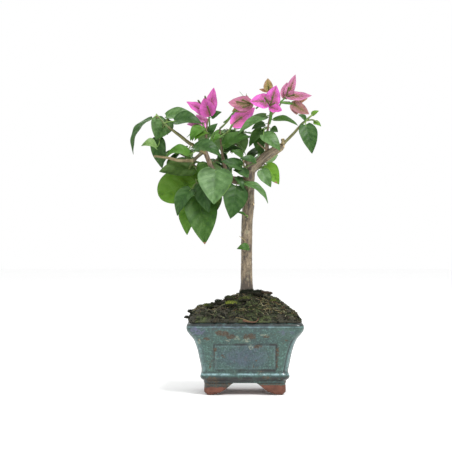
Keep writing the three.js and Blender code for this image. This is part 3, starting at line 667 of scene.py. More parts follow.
def bark_relief(deep, fine, seed, dirt=0):
    """Fissures, lumps, low rings and grain. fine: fissures to a millimetre. dirt: how high it rises."""

    def relief(local):
        stretched = local * np.array([fine, fine, fine * 0.1])
        warp = noise(local * 0.35, seed + 9)[..., None] - 0.5
        ridges = 1 - np.abs(2 * fractal(stretched + warp * 1.4, 2, seed) - 1)
        fissure = smooth_step(0.74, 0.98, ridges)
        lumps = fractal(local * np.array([0.16, 0.16, 0.09]), 2, seed + 3) - 0.5
        rings = smooth_step(0.66, 0.9, noise(local * np.array([0.04, 0.04, 0.35]), seed + 5))
        grain = noise(local * np.array([1.9, 1.9, 0.7]), seed + 7) - 0.5
        mottle = fractal(local * np.array([0.5, 0.5, 0.12]), 2, seed + 11) - 0.5
        rise = deep * (-0.7 * fissure + 1.2 * lumps + 0.4 * rings + 0.3 * grain)
        shade = 0.62 - 0.42 * fissure + 1.0 * mottle + 0.3 * grain + 0.1 * rings
        if dirt:
            shade = shade - 1.1 * smooth_step(dirt, 0, local[..., 2] + 8 * (mottle + grain))
        return rise, np.clip(shade, 0, 1)

    return relief


def add_limb(heap, name, seed):
    _, points, radii = LIMBS[name]
    path, share, along = Curve(points).even(0.5)
    thick = max(radii)
    radii = read_off(radii, share)
    if name != "trunk":
        radii = radii * (1 + 0.22 * np.exp(-along / (1.2 * thick)))
    is_thick = thick > 5
    deep, fine, sides = (0.5, 1.0, 60) if is_thick else (0.22, 1.1, 26)
    relief = bark_relief(deep, fine, seed, 19 if name == "trunk" else 0)
    cut = CUT_WOOD if name in ("bough_left_spur", "bough_right") else None
    add_tube(heap, path, radii, sides, bark_slot(LIMB_BARK.get(name, "bough")), tip_slot=cut, relief=relief)


def add_stub(heap, place, direction, length, radius, bark, seed):
    """Stub of a cut twig: swollen at its foot, with a rim round its cut."""
    path = at(place) + unit(direction) * np.linspace(-1, length, 10)[:, None]
    radii = radius * np.array([1.7, 1.5, 1.2, 1.0, 0.95, 1.0, 1.08, 1.12, 1.05, 0.8])
    relief = bark_relief(0.15, 1.1, seed)
    add_tube(heap, path, radii, 14, bark_slot(bark), tip_slot=CUT_WOOD, relief=relief, dome=0.2)


def add_bare_twig(heap, line, radii, bark, seed):
    path, share, _ = Curve(places(line)).even(0.7)
    add_tube(heap, path, read_off(radii, share), 8, bark_slot(bark), relief=bark_relief(*TWIG_BARK, seed))


# Stubs: place, direction, length, radius, bark and seed
STUBS = [
    ((44.2, -6, 284.5), (-0.1, -0.2, 1), 5, 2, "spur", 61),
    ((24, -6, 292), (-0.5, -0.4, 0.8), 4, 1.0, "bough", 62),
    ((9.4, -2, 214), (1, -0.4, 0.2), 1.2, 1.9, "trunk", 64),
    ((-2, -2, 226), (-0.8, -0.4, 0.3), 1.5, 1.6, "trunk", 65),
    ((-20, -9, 243), (0.2, -1, 0.5), 1.5, 1.2, "bough", 66),
    ((-66, -5, 264), (-0.2, -0.5, 1), 2, 0.9, "spur", 67),
    ((-60, -7, 283), (-0.3, -0.6, -0.8), 1.8, 0.9, "olive", 68),
]
# Bare twigs: places, radii, bark and seed
BARE_TWIGS = [
    ("1 -4 171, -3 -8 175, -6.3 -8.5 177.5", (0.9, 0.6, 0.2), "spur", 71),
    ("-1 -6 244, 4 -8 241.5, 10.5 -7.5 238.4", (0.9, 0.8, 0.6), "bough", 72),
    ("24.5 -4 277, 19 -5 281, 15 -4 285", (1.1, 0.8, 0.6), "bough", 73),
    ("9 3 262, 14 6 262.5, 26 6 259", (1.1, 0.8, 0.7), "bough", 74),
]


def make_wood():
    heap = Heap("relief")
    for number, name in enumerate(LIMBS):
        add_limb(heap, name, 20 + number)
    for stub in STUBS:
        add_stub(heap, *stub)
    for twig in BARE_TWIGS:
        add_bare_twig(heap, *twig)
    return heap.piece("trunk_and_boughs", bark_materials(), "bark", replaced=list(LIMBS))


# Blades: leaves and bracts. An outline has the powers of the distance from the base and from the tip.
LEAF_OUTLINE = (0.38, 0.95)
BROAD_OUTLINE = (0.42, 0.5)
BRACT_OUTLINE = (0.55, 0.95)
BLADE_FOLD = 0.22
VEIN_SLANT = 0.24
LEAF_THICK = 0.28
BRACT_THICK = 0.22
# Rows and columns of a blade's mesh, and how long a leaf is that is large, or small
LARGE_GRID = (46, 31)
FINE_GRID = (26, 17)
SMALL_GRID = (13, 9)
LARGE_LEAF = 34
SMALL_LEAF = 24


def facing_from(tilt, turn):
    lean, heading = math.radians(tilt), math.radians(turn)
    return np.array([math.sin(lean) * math.sin(heading), -math.sin(lean) * math.cos(heading), math.cos(lean)])


class Blade:
    """Bent surface of a leaf or bract: s runs from base to tip, and t from one edge to the other."""

    def __init__(self, base, tip, width, arch, facing, outline, seed, ruffle=0.012, lobe=0.05, veins=5,
                 fold=BLADE_FOLD, sway=0.0):
        chord = tip - base
        self.base, self.width, self.arch, self.power = base, width, arch, outline
        self.long = np.linalg.norm(chord)
        self.along = unit(chord)
        self.face = unit(facing - self.along * (facing @ self.along))
        self.side = np.cross(self.along, self.face)
        peak = outline[0] / (outline[0] + outline[1])
        self.top = peak ** outline[0] * (1 - peak) ** outline[1]
        draw = stream(seed)
        self.phase, self.turns = draw() * DRAWN_TURN, mix(1.6, 2.8, draw())
        self.sway, self.fold = sway + (draw() - 0.5) * 0.05, fold
        self.ruffle, self.lobe, self.veins = ruffle, lobe, veins
        # lit: +1 where the half with t above 0 lies to the right as seen, else -1. It picks the half painted
        # lighter and the half painted darker
        self.lit = 1 if self.side[0] > 0 else -1

    def spread(self, s):
        s = np.clip(s, 1e-6, 1)
        return s ** self.power[0] * (1 - s) ** self.power[1] / self.top

    def vein_wave(self, s, t):
        """1 between two side veins and -1 on the next ones, as they slant to the edge."""
        return np.cos(TURN * self.veins * (s - VEIN_SLANT * np.abs(t)))

    def point(self, s, t, lift=0.0):
        s, t = np.broadcast_arrays(np.asarray(s, float), np.asarray(t, float))
        half = self.width / 2 * self.spread(s)
        rise = self.arch * self.long * 4 * s * (1 - s)
        rise = rise + half * self.fold * np.abs(t) ** 1.2
        wave = np.sin(self.turns * TURN * s + self.phase + np.where(t > 0, 0, 1.9))
        rise = rise + self.ruffle * self.long * wave * t * t * np.minimum(1, 4 * (1 - s))
        rise = rise - 0.0045 * self.long * self.vein_wave(s, t) * (1 - t * t) * np.minimum(1, 6 * np.abs(t))
        back = self.lobe * self.long * t * t * np.exp(-s / 0.07)
        sway = self.sway * self.long * np.sin(math.pi * s)
        return (self.base + self.along * (self.long * s - back)[..., None]
                + self.side * (t * half + sway)[..., None] + self.face * (rise + lift)[..., None])


def add_blade(heap, blade, rows, columns, thick, top_slots, under_slot):
    """Thin closed blade. top_slots gives the slot of each face of its upper side from s and t."""
    s = 0.012 + 0.976 * (1 - (1 - np.linspace(0, 1, rows)) ** 1.08)
    grid_s, grid_t = np.meshgrid(s, np.linspace(-1, 1, columns), indexing="ij")
    upper = blade.point(grid_s, grid_t)
    lower = blade.point(grid_s, grid_t, lift=-thick)
    end = blade.point([1.0], 0.0, lift=-thick / 2)
    points = np.concatenate([upper.reshape(-1, 3), lower.reshape(-1, 3), end])
    count = rows * columns
    faces = grid_faces(rows, columns)
    slots = top_slots(*(grid.reshape(-1)[faces].mean(axis=1) for grid in (grid_s, grid_t)))
    rim = np.concatenate([
        np.arange(rows) * columns, (rows - 1) * columns + np.arange(1, columns),
        (np.arange(rows - 2, -1, -1)) * columns + columns - 1, np.arange(columns - 2, 0, -1),
    ])
    one, next_one = rim, np.roll(rim, -1)
    at_tip = slice(rows - 1, rows + columns - 2)
    sides = [np.delete(part, at_tip) for part in (one, next_one)]
    walls = np.stack([sides[0], sides[1], sides[1] + count, sides[0] + count], axis=1)
    left, right = one[at_tip], next_one[at_tip]
    tip = np.full(len(left), 2 * count)
    heap.add(
        points, (faces[:, ::-1], slots), (faces + count, under_slot), (walls, slots[0]),
        (np.stack([tip, right, left], axis=1), slots[-1]),
        (np.stack([left + count, right + count, tip], axis=1), under_slot),
        (np.stack([left, tip, left + count], axis=1)[:1], slots[-1]),
        (np.stack([right, right + count, tip], axis=1)[-1:], slots[-1]),
    )


def add_rib(heap, blade, s, t, widths, height, slot):
    """Low ridge along a vein of a blade's upper side."""
    middle = blade.point(s, t, lift=0.02)
    direction = unit(np.gradient(middle, axis=0))
    out = unit(np.cross(direction, blade.face))
    half = out * (np.asarray(widths)[:, None] / 2)
    points = np.stack([middle - half, middle + blade.face * height, middle + half], axis=1)
    heap.add(points, (grid_faces(len(middle), 3)[:, ::-1], slot))


def add_veins(heap, blade, pairs, slot, width, height, reach=0.86):
    s = np.linspace(0.02, 0.95, 16)
    add_rib(heap, blade, s, np.zeros(16), width * (1.15 - s), height, slot)
    for number in range(pairs):
        start = mix(0.06, 0.7, (number + 0.3) / pairs)
        for sign in (-1, 1):
            k = np.linspace(0, 1, 8)
            path_s = start + 0.02 * sign + (0.2 - 0.06 * start) * k ** 1.25
            path_t = sign * reach * k ** 0.9
            add_rib(heap, blade, path_s, path_t, width * 0.5 * (1.1 - k), height * 0.6, slot)


# Leaf colours: blade, margin and veins
LEAF_TINTS = {
    "dark": ("3E5A24", "405C24", "486529"),
    "deep": ("27471B", "30531E", "3E6027"),
    "mid": ("2C4E16", "355A19", "436723"),
    "fresh": ("40691E", "4D7926", "598330"),
    "lime": ("457019", "538521", "608C2B"),
    "bright": ("50781F", "648E2A", "769B3C"),
    "broad": ("497218", "5E8A20", "6F973A"),
    "spotted": ("59861F", "6C9927", "7CA43E"),
    "heart": ("476837", "607F30", "3D5B30"),
    "sheen": ("3F622D", "476D2F", "50743A"),
    "pale": ("678647", "769350", "839B5D"),
}
# Tints that shine more and get more painted sheen; the sheen tint stands for leaves that look grey-green with
# reflected light
SHINY_WITH_PAINTED_SHEEN = ("sheen", "heart", "pale")
GLOSSY = ("deep", "sheen", "dark")
# Colours mixed into a blade's tones: a dark painted shade, and a grey-green painted sheen
SHADE = "132A0E"
PAINTED_SHEEN = "829C72"
# The blade of a leaf has so many tones from painted shade to painted sheen, and then its margin and its veins
TONES = 5
MARGIN = TONES
VEINS = TONES + 1
PARTS = TONES + 2
LEAF_UNDER = PARTS * len(LEAF_TINTS)
LEAF_STALK = LEAF_UNDER + 1
LEAF_BROWN = LEAF_UNDER + 2


def leaf_materials():
    made = []
    for name, (blade, margin, vein) in LEAF_TINTS.items():
        painted_sheen_share, shine = (1, 0.3) if name in SHINY_WITH_PAINTED_SHEEN else (0.6, 0.2)
        # Two painted shade copies of the blade's colour, the colour itself, and two painted sheen copies
        codes = [blend_code(blade, SHADE, share) for share in (0.36, 0.16)] + [blade]
        codes += [blend_code(blade, PAINTED_SHEEN, share * painted_sheen_share) for share in (0.16, 0.36)]
        codes += [blend_code(margin, blade, 0.4), blend_code(vein, blade, 0.45)]
        rough = 0.42 if name in GLOSSY else 0.5
        made += plain_set(f"leaf_{name}", codes, roughness=rough, shine=shine, through=0.05)
    return made + [
        plain("leaf_underside", "64854D", roughness=0.6, shine=0.3, through=0.1),
        plain("leaf_stalk", "6E8F42", roughness=0.55, shine=0.4),
        plain("leaf_tip_brown", "806046", roughness=0.7, shine=0.3),
    ]


def add_leaf(heap, blade, tint, fine=True, brown_tip=False):
    first = PARTS * list(LEAF_TINTS).index(tint)

    def slots(s, t):
        spots = np.stack([s * blade.long / 9, t * blade.width / 11, s * 0 + blade.phase * 5], axis=-1)
        # Tone of each face: random mottling, a painted sheen midway along the leaf, darker towards the
        # midrib, the left half as seen painted lighter and the right half darker, and bands along the side
        # veins
        tone_with_painted_light = 0.52 + 1.2 * (fractal(spots, 2, 13) - 0.5) + 0.14 * np.sin(math.pi * s)
        tone_with_painted_light = tone_with_painted_light - 0.2 * (1 - np.abs(t)) ** 3 - 0.2 * t * blade.lit + 0.13 * blade.vein_wave(s, t)
        number = first + np.clip((tone_with_painted_light * TONES).astype(int), 0, TONES - 1)
        # A lighter margin only along the right edge as seen: the leaf's margin colour, kept to the side where
        # it stands for a painted edge highlight
        number = np.where((np.abs(t) > 0.93) & (s > 0.45) & (t * blade.lit > 0), first + MARGIN, number)
        if brown_tip:
            number = np.where(s > 0.95, LEAF_BROWN, number)
        if tint == "spotted":
            number = np.where((s > 0.8) & (s < 0.93) & (t > 0.25), LEAF_BROWN, number)
        return number

    grid = LARGE_GRID if blade.long > LARGE_LEAF else FINE_GRID if fine else SMALL_GRID
    add_blade(heap, blade, *grid, LEAF_THICK, slots, LEAF_UNDER)
    width = np.clip(blade.long * 0.022, 0.35, 1.1)
    add_veins(heap, blade, blade.veins, first + VEINS, width, width * 0.28)


def add_stalk(heap, start, blade, radius):
    """Stalk that leaves its twig, sags a little and runs into the blade's rib."""
    end = blade.point(STALK_MEETS_RIB, 0.0, lift=-0.2)
    inside = blade.point(STALK_MEETS_RIB + 0.1, 0.0, lift=-0.3)
    reach = np.linalg.norm(end - start)
    middle = (start + end) / 2 + unit(end - inside) * reach * 0.18 + UP * reach * 0.06
    path = Curve([start, middle, end, inside]).row(12)
    add_tube(heap, path, np.linspace(radius, radius * 0.45, 12), 7, LEAF_STALK)


class Grown:
    """What has grown so far, for the rule that keeps a new leaf or twig off the others."""

    def __init__(self):
        self.rows, self.low, self.high = [], [], []

    def add(self, mass, points, faces, is_blade):
        self.rows.append((mass, BVHTree.FromPolygons(points.tolist(), faces), is_blade))
        self.low.append(points.min(axis=0))
        self.high.append(points.max(axis=0))

    def is_clear(self, points, faces, mass, own_blades):
        """Clear of every limb, of other masses, and of its own mass's blades where they must not meet."""
        low, high = points.min(axis=0), points.max(axis=0)
        meets = np.all((np.array(self.low) < high) & (low < np.array(self.high)), axis=1)
        tree = None
        for number in np.nonzero(meets)[0]:
            other, other_tree, is_blade = self.rows[number]
            if other == mass and not (own_blades and is_blade):
                continue
            tree = tree or BVHTree.FromPolygons(points.tolist(), faces)
            if tree.overlap(other_tree):
                return False
        return True


def skin_faces(rings, sides, with_tip):
    """Faces of a small solid: a cap at its foot, its rings, and a point or a cap at its end."""
    last = (rings - 1) * sides
    ends = [(last + side, last + (side + 1) % sides, rings * sides) for side in range(sides)]
    cap = [tuple(range(last, last + sides))]
    quads = list(map(tuple, grid_faces(rings, sides, closed=True).tolist()))
    return [tuple(range(sides))] + quads + (ends if with_tip else cap)


def rough_blade(base, tip, width, arch, facing, stations, extra):
    """The solid that stands for a blade in the source, and its faces, with something added all round."""
    chord = tip - base
    long = np.linalg.norm(chord)
    along = chord / long
    face = unit(facing - along * (facing @ along))
    side = np.cross(along, face)
    thick = long * 0.01 + extra
    points = []
    for share, spread in stations:
        middle = base + chord * share + face * (arch * long * 4 * share * (1 - share))
        half = width / 2 * spread + extra
        raised = face * (half * LEAF_FOLD)
        points += [middle + face * thick, middle + side * half + raised, middle - face * thick,
                   middle - side * half + raised]
    return np.array(points + [tip]), skin_faces(len(stations), 4, True)


def rough_tube(path, radii, sides):
    points = path[:, None] + ring_ways(path, sides)[0] * radii[:, None, None]
    return points.reshape(-1, 3), skin_faces(len(path), sides, False)


def turned(vector, angle):
    """A vector turned about the upright."""
    c, s = math.cos(angle), math.sin(angle)
    return np.array([vector[0] * c - vector[1] * s, vector[0] * s + vector[1] * c, vector[2]])


def cast(start, level, reach, rise):
    """Where a line ends that leaves its start in a level direction and rises by an angle."""
    return start + level * (reach * math.cos(rise)) + UP * (reach * math.sin(rise))


def level_way(spin):
    return np.array([math.cos(spin), math.sin(spin), 0.0])


def in_space(point, space):
    middle, halves = space
    return np.sum(((point - middle) / halves) ** 2) <= 1


def oval_offset(across, height, oval):
    """Less than 1 inside an oval, and more outside it."""
    middle_across, middle_height, half_wide, half_tall = oval
    return ((across - middle_across) / half_wide) ** 2 + ((height - middle_height) / half_tall) ** 2


def sky_count(points):
    """How many points lie in the sky as seen."""
    across, height = as_seen(points)
    return np.any([oval_offset(across, height, oval) < 1 for oval in SKY], axis=0).sum()


def nearest_wood(curves, point):
    places = np.array([curve.point(step / 12) for curve in curves for step in range(4, 13)])
    return places[np.argmin(np.linalg.norm(places - point, axis=1))]


# The moods of the bracts: colours from the base to the edge, and the veins
MOODS = {
    "bright": (("744A50", "8E4466", "A34685", "AE4B93", "B8539E"), "653548"),
    "mixed": (("5E4E38", "7C5155", "985078", "AC4E8E", "C058AC"), "4C372A"),
    "magenta": (("80694C", "A06074", "BF5F99", "D062AE", "DF6CC8"), "8C4872"),
    # Magenta painted lighter, for the bracts of one blossom that lie in shade: painted light
    "blush": (("8A6C58", "B0708C", "CE70AE", "DE80C4", "EA92D4"), "A05A88"),
    "dusty": (("66583A", "825B50", "925F68", "9C5F73", "A46280"), "5A4A2C"),
    "veined": (("5A5438", "80594E", "925B68", "A0617E", "AE6890"), "443F22"),
    "brown": (("6A5A34", "7A5F3E", "856248", "8A6450", "956A58"), "5A4A2C"),
    "faded": (("545628", "696037", "7B5E4A", "87605C", "8F6067"), "444220"),
    "tan": (("5F6432", "75703F", "8C7A4C", "95814F", "9A7C62"), "565A2C"),
}
# Bracts as the photograph shows them: mood, heart, tip, and width, tilt and turn
BRACTS = """
bright -40.5 -9 317, -35.3 -8 348.3, 15 76 -10
bright -41 -9 318.5, -66.9 -12 332, 13.5 74 10
bright -40 -13 316, -47 -20 336, 19 78 -16
blush -46.5 -8 308, -66.5 -17 306, 9 85 0
blush -46.5 -8 308, -60 -17 291, 12 85 0
blush -44 -6 306, -56 -3 317, 12 85 0
dusty 8.3 -12 329.3, -18.9 -17 331.1, 18.5 78 0
tan 8.3 -8 329.3, -14.8 -6 320.6, 13 80 0
dusty 8 -9 329, 1.6 -7 340.4, 6 60 40
magenta -13.5 -9 305.6, 12 -5 325.2, 19.5 82 8
mixed 29.8 -18 332.4, 6 -22 332.4, 18 76 -8
mixed 29.2 -16 326.4, 36.5 -18 350.8, 18.5 80 10
bright 29.2 -20 326.4, 43 -27 321.6, 12.5 72 16
tan 28 -5 344, 26.7 -8 359, 11 85 0
brown 28 -5 344, 16.6 -7 346.4, 4.6 80 0
veined 48.8 -4 337.4, 58.5 -2 363.4, 11 78 -8
veined 46.6 -1 335.8, 48.9 4 354.4, 12 80 0
veined 47.6 -4 339.6, 77.4 -8 339, 11.5 76 0
faded 54.5 -2 330.4, 74.3 -8 317.6, 13 84 0
faded 57 -2.5 331, 60 -4 316.8, 12.5 84 0
brown 56 1 330, 72.8 4 336, 5 80 0
"""
# The slender flower tubes on them, from foot to bud
TUBES = """
-41 -9.5 319, -45.6 -13 338.4
-42 -9.5 319, -53.6 -13.5 333.6
-39 -15 316, -43 -20 327
7 -15.6 329.2, -9.5 -21 331.9
7 -15.8 330, -2.9 -20.6 334.3
6 -15.6 328, -2.2 -20.4 325.4
29.2 -21 327, 23.3 -24.4 336.8
29.4 -21 327, 32.5 -23.4 338
29.8 -22 327.2, 34.8 -24.4 330.6
28 -8 344.4, 27.4 -10.6 350
48 -7 338, 50.9 -7.4 348.6
49 -7.6 337.4, 57.6 -10.6 340.2
-12.6 -13 307, -3 -15.6 314.4
"""
# The stems behind them, with their radii at both ends
STEMS = """
28.7 -10 306, 30.4 -12.5 315, 30 -16 325, 1 1.9
36 -9 333, 43 -6 331, 55 -1.5 329.8, 1.2 1.5
38 -9 331, 43.5 -5 333.4, 48 -3 338, 0.9 0.8
30 -13 326, 28 -8 335, 28 -5 344.5, 0.9 0.9
-24 -4 308, -19 -7 312, -11 -9 321, 8 -10 329, 0.9 0.8
-40 -7 300, -40.5 -8 308, -41 -9 317, 1 0.9
-18 -6 297, -16 -8 301, -13 -9 306, 0.9 0.7
13 -7 324, 18 -9 327.5, 26 -14 326.5, 0.9 0.9
3 -10.5 333.6, -1 -10.5 338, -5.7 -10.5 343.4, 0.4 0.22
3 -9 335, 2.4 -9 338, 2.2 -9 341.5, 0.35 0.2
"""
BRACT_STEPS = 5
TUBE_SLOT = len(MOODS) * (BRACT_STEPS + 1)
BUD_SLOT, STEM_SLOT, UNDER_SLOT = TUBE_SLOT + 1, TUBE_SLOT + 2, TUBE_SLOT + 3
STRONG_VEINS = ("veined", "dusty", "tan")


def bract_materials():
    made = []
    for name, (codes, vein) in MOODS.items():
        made += plain_set(f"bract_{name}", codes, roughness=0.6, shine=0.25, through=0.12)
        made.append(plain(f"bract_{name}_vein", vein, roughness=0.6, shine=0.25))
    return made + [
        plain("flower_tube", "47461F", roughness=0.6, shine=0.3),
        plain("flower_bud", "6A6A34", roughness=0.6, shine=0.3),
        plain("flower_stem", "4A742A", roughness=0.55, shine=0.35),
        plain("bract_underside", "A8608A", roughness=0.65, shine=0.2, through=0.12),
    ]


def add_bract(heap, blade, mood, seed):
    first = list(MOODS).index(mood) * (BRACT_STEPS + 1)

    def slots(s, t):
        place = np.stack([s * 7, t * 3, s * 0 + seed * 3.7], axis=-1)
        share = 0.1 + 0.75 * np.abs(t) ** 0.8 + 0.55 * s ** 1.5 + 0.5 * (noise(place, 3) - 0.5)
        return first + np.clip((share * BRACT_STEPS).astype(int), 0, BRACT_STEPS - 1)

    add_blade(heap, blade, *FINE_GRID, BRACT_THICK, slots, UNDER_SLOT)
    width, reach = (0.75, 0.8) if mood in STRONG_VEINS else (0.5, 0.6)
    add_veins(heap, blade, 5, first + BRACT_STEPS, width, 0.12, reach=reach)


def add_flower(heap, foot, top):
    """Slender tube, waisted above its foot, with a closed bud at its end."""
    middle = mix(foot, top, 0.5) + np.array([0, -0.8, 0])
    path = Curve([foot, middle, top]).row(14)
    radii = np.interp(np.linspace(0, 1, 14), [0, 0.3, 0.6, 0.8, 0.92, 1], [0.6, 0.85, 0.7, 0.85, 1.2, 0.85])
    add_tube(heap, path, radii, 9, TUBE_SLOT, tip_slot=BUD_SLOT, dome=0.9)


LEAF_GROUPS = {
    "leaves_left": ("foliage_left_outer", "foliage_left_middle", "foliage_left_top"),
    "leaves_centre": ("foliage_centre_low", "foliage_junction", "foliage_centre_top", "foliage_fork",
                      "foliage_below_fork", "shoot_high", "shoot_low"),
    "leaves_right": ("foliage_right_top", "foliage_right_tip", "foliage_right_low"),
    "leaves_back": ("foliage_back_left", "foliage_back_right", "foliage_back_top"),
}
COVER_CELL = 1.5
FINE_SPACING = 2.5
FINE_PLACES = 4
FINE_SEED = FIRST_SEED + 50
BRACT_SEED = 700
FAR_BEHIND = 1e9
COVERED = 0.9
# How the leaves of shoots and of finer twigs stand: swing off the twig, fall, stalk, and how they face ahead
SHOOT_HABIT = {
    "swing": (0.7, 1.4), "fall": (0.25, 1.15), "stalk": FILL_LEAF_STALK, "ahead": 0.6,
    "tints": ("mid", "deep", "mid", "fresh", "deep", "mid", "dark", "bright"),
}
FINE_HABIT = {
    "swing": (0.6, 1.5), "fall": (-0.2, 1.2), "stalk": 2.5, "ahead": 0.5,
    "tints": ("fresh", "mid", "deep", "bright", "mid", "deep", "fresh", "lime"),
}


def read_leaf(line):
    """Foot, tip, width, arch and facing of a leaf, and its tint."""
    row, tint = line.rsplit(" ", 1)
    foot, tip, (width, arch, tilt, turn) = groups(row)
    return (at(foot), at(tip), width, arch, facing_from(tilt, turn)), tint


class Crown:
    """Grows every mass by the source's rule, and then its finer twigs and leaves."""

    def __init__(self):
        self.grown = Grown()
        self.twigs = Heap("relief")
        self.bracts = Heap()
        self.leaves = {group: Heap() for group in LEAF_GROUPS}
        self.group = {name: group for group, names in LEAF_GROUPS.items() for name in names}
        self.curves = {name: [Curve(places(line)) for line in mass["wood"]] for name, mass in MASSES.items()}
        self.carriers = {name: [] for name in MASSES}
        self.cover = {}
        self.count = 0
        for sides, points, radii in LIMBS.values():
            path, share, _ = Curve(points).even(3)
            self.grown.add("limb", *rough_tube(path, read_off(radii, share) + CLEAR, sides), False)

    def wood(self, name):
        for number, curve in enumerate(self.curves[name]):
            path, share, along = curve.even(0.9)
            thick = 1.5 if number == 0 else 1.1
            self.grown.add(name, *rough_tube(curve.row(8), np.full(8, thick * 0.9), 5), False)
            knots = 1 + 0.16 * np.exp(-((along % 7 - 3.5) / 0.9) ** 2)
            self.add_twig(path, mix(thick, 0.8, share) * knots, 10, name)
            self.carriers[name].append((curve, along[-1]))

    def add_twig(self, path, radii, sides, name):
        self.count += 1
        kind = "spur" if self.count % 5 == 0 else "twig"
        if name in ("foliage_right_top", "foliage_centre_top", "foliage_left_top") and radii[0] > 1.2:
            kind = "bough"
        add_tube(self.twigs, path, radii, sides, bark_slot(kind), relief=bark_relief(*TWIG_BARK, self.count))

    def leaf(self, name, shape, tint, stalk_from, stations=FILL_STATIONS, fine=True, brown=False):
        """A leaf on its stalk, and the solid that keeps later growth off it."""
        self.grown.add(name, *rough_blade(*shape, stations, 0), True)
        self.count += 1
        foot, tip, width, arch, facing = shape
        veins, lobe, radius = (3, 0.02, 0.55) if np.linalg.norm(tip - foot) < SMALL_LEAF else (5, 0.05, 0.75)
        wider, outline, sway = (1.1, BROAD_OUTLINE, -0.02) if tint == "broad" else (1, LEAF_OUTLINE, 0)
        blade = Blade(foot, tip, width * wider, arch, facing, outline, self.count,
                      veins=veins, lobe=lobe, sway=sway)
        heap = self.leaves[self.group[name]]
        add_leaf(heap, blade, tint, fine, brown)
        add_stalk(heap, stalk_from, blade, radius)
        return blade

    def shown_leaves(self, name):
        for shape, tint in map(read_leaf, MASSES[name]["leaf"]):
            long = np.linalg.norm(shape[1] - shape[0])
            stations = FILL_STATIONS if long < 30 else LEAF_STATIONS
            brown = name == "foliage_centre_low" and tint == "mid"
            stalk_from = nearest_wood(self.curves[name], shape[0])
            blade = self.leaf(name, shape, tint, stalk_from, stations, long > 18, brown)
            s, t = np.meshgrid(np.linspace(0.02, 0.97, 60), np.linspace(-1, 1, 40), indexing="ij")
            points = blade.point(s, t)
            for cell, behind in zip(self.cells(points), points[..., 1].ravel().tolist()):
                self.cover[cell] = min(behind, self.cover.get(cell, behind))

    def fuller_leaves(self, name):
        for shape, tint in map(read_leaf, MASSES[name]["more"]):
            self.leaf(name, shape, tint, nearest_wood(self.curves[name], shape[0]))

    def keep_blossoms(self, name):
        """The source's blossoms, for the rule that keeps what grows off them."""
        for line in MASSES[name]["blossom"]:
            middle, *tips, (width, tilt, turn) = groups(line)
            heart, axis = at(middle), facing_from(tilt, turn)
            for offset in tips:
                end = at([a + b for a, b in zip(offset, middle)])
                base = heart + (end - heart) * -BRACT_OVERLAP
                self.grown.add(name, *rough_blade(base, end, width, BRACT_CUP, axis, LEAF_STATIONS, 0), True)

    def blossoms(self):
        for seed, row in enumerate(lines(BRACTS), BRACT_SEED):
            mood, line = row.split(" ", 1)
            heart, tip, (width, tilt, turn) = groups(line)
            foot, end = at(heart), at(tip)
            blade = Blade(foot + (foot - end) * BRACT_OVERLAP, end, width, BRACT_CUP, facing_from(tilt, turn),
                          BRACT_OUTLINE, seed, ruffle=0.03, lobe=0.03, fold=0.16)
            add_bract(self.bracts, blade, mood, seed)
        for line in lines(TUBES):
            add_flower(self.bracts, *places(line))
        for line in lines(STEMS):
            *stem, (thick, thin) = groups(line)
            path = Curve([at(place) for place in stem]).row(16)
            add_tube(self.bracts, path, np.linspace(thick, thin, 16), 9, STEM_SLOT)

    def shoots(self, name, seed):
        """Seeded shoots: they leave the stem on its outer side, a golden share of their spread apart."""
        random = stream(seed)
        (middle, _), count = MASSES[name]["space"], MASSES[name]["shoots"]
        outward = math.atan2(middle[1], middle[0] - SEAT_ACROSS)
        radii = np.array([1, 0.8, 0.6])
        for number in range(count):
            start = self.curves[name][0].point(mix(0.3, 0.98, (number + random()) / count))
            level = level_way(outward + SHOOT_SPREAD * (((number * GOLDEN_SHARE + random() * 0.2) % 1) - 0.5))
            rise = mix(-0.5, 0.8, random())
            reach = SHOOT_LENGTH * mix(0.7, 1.2, random())
            end = cast(start, level, reach, rise)
            draws = [(random(), random(), random()) for _ in LEAF_PLACES]
            row = np.array([start, (start + end) / 2, end])
            room = self.grown.is_clear(*rough_tube(row, radii + CLEAR, 3), name, True)
            if not room or not in_space(end, MASSES[name]["space"]):
                continue
            kept = 0
            for number_on_twig, (place, draw) in enumerate(zip(LEAF_PLACES, draws)):
                length, arch = FILL_LEAF_LENGTH * mix(0.72, 1.1, draw[2]), mix(0.04, 0.18, draw[0])
                side = 0 if place == 1 else 1 if number_on_twig % 2 else -1
                root = start + (end - start) * place
                kept += self.side_leaf(name, SHOOT_HABIT, side, root, level, draw, length, arch)
            if kept:
                sag = unit(np.cross(level, UP)) * 1.2 + UP * -0.8
                curve = Curve([start, (start + end) / 2 + sag, end])
                self.add_twig(curve.row(22), np.linspace(1, 0.6, 22), 8, name)
                self.grown.add(name, *rough_tube(row, radii, 3), False)
                self.carriers[name].append((curve, reach))

    def side_leaf(self, name, habit, side, root, level, draw, length, arch):
        """A leaf on one side of a twig, or at its end where side is 0. Tells whether there is room for it."""
        swing, droop, _ = draw
        heading = turned(level, side * mix(*habit["swing"], swing) if side else (swing - 0.5) * 0.8)
        foot = root + heading * habit["stalk"]
        tip = cast(foot, heading, length, -mix(*habit["fall"], droop))
        shape = (foot, tip, length * 0.6, arch, UP + heading * habit["ahead"])
        points, faces = rough_blade(*shape, FILL_STATIONS, CLEAR)
        is_fine = habit is FINE_HABIT
        if is_fine:
            fits = self.cover_share(points) >= COVERED
        else:
            fits = tip[1] > SHOOT_BEHIND and sky_count(points) <= 1
        if not fits or not in_space(tip, MASSES[name]["space"]):
            return False
        if not self.grown.is_clear(points, faces, name, True):
            return False
        self.leaf(name, shape, habit["tints"][int(swing * len(habit["tints"]))], root, fine=not is_fine)
        return True

    def cells(self, points):
        """Squares of the view that points fall into."""
        cells = np.stack(as_seen(points), axis=-1).reshape(-1, 2) // COVER_CELL
        return list(map(tuple, cells.astype(int).tolist()))

    def cover_share(self, points):
        """How much of some places lies behind leaves that are shown."""
        fronts = np.array([self.cover.get(cell, FAR_BEHIND) for cell in self.cells(points)])
        return np.mean(fronts < points[:, 1])

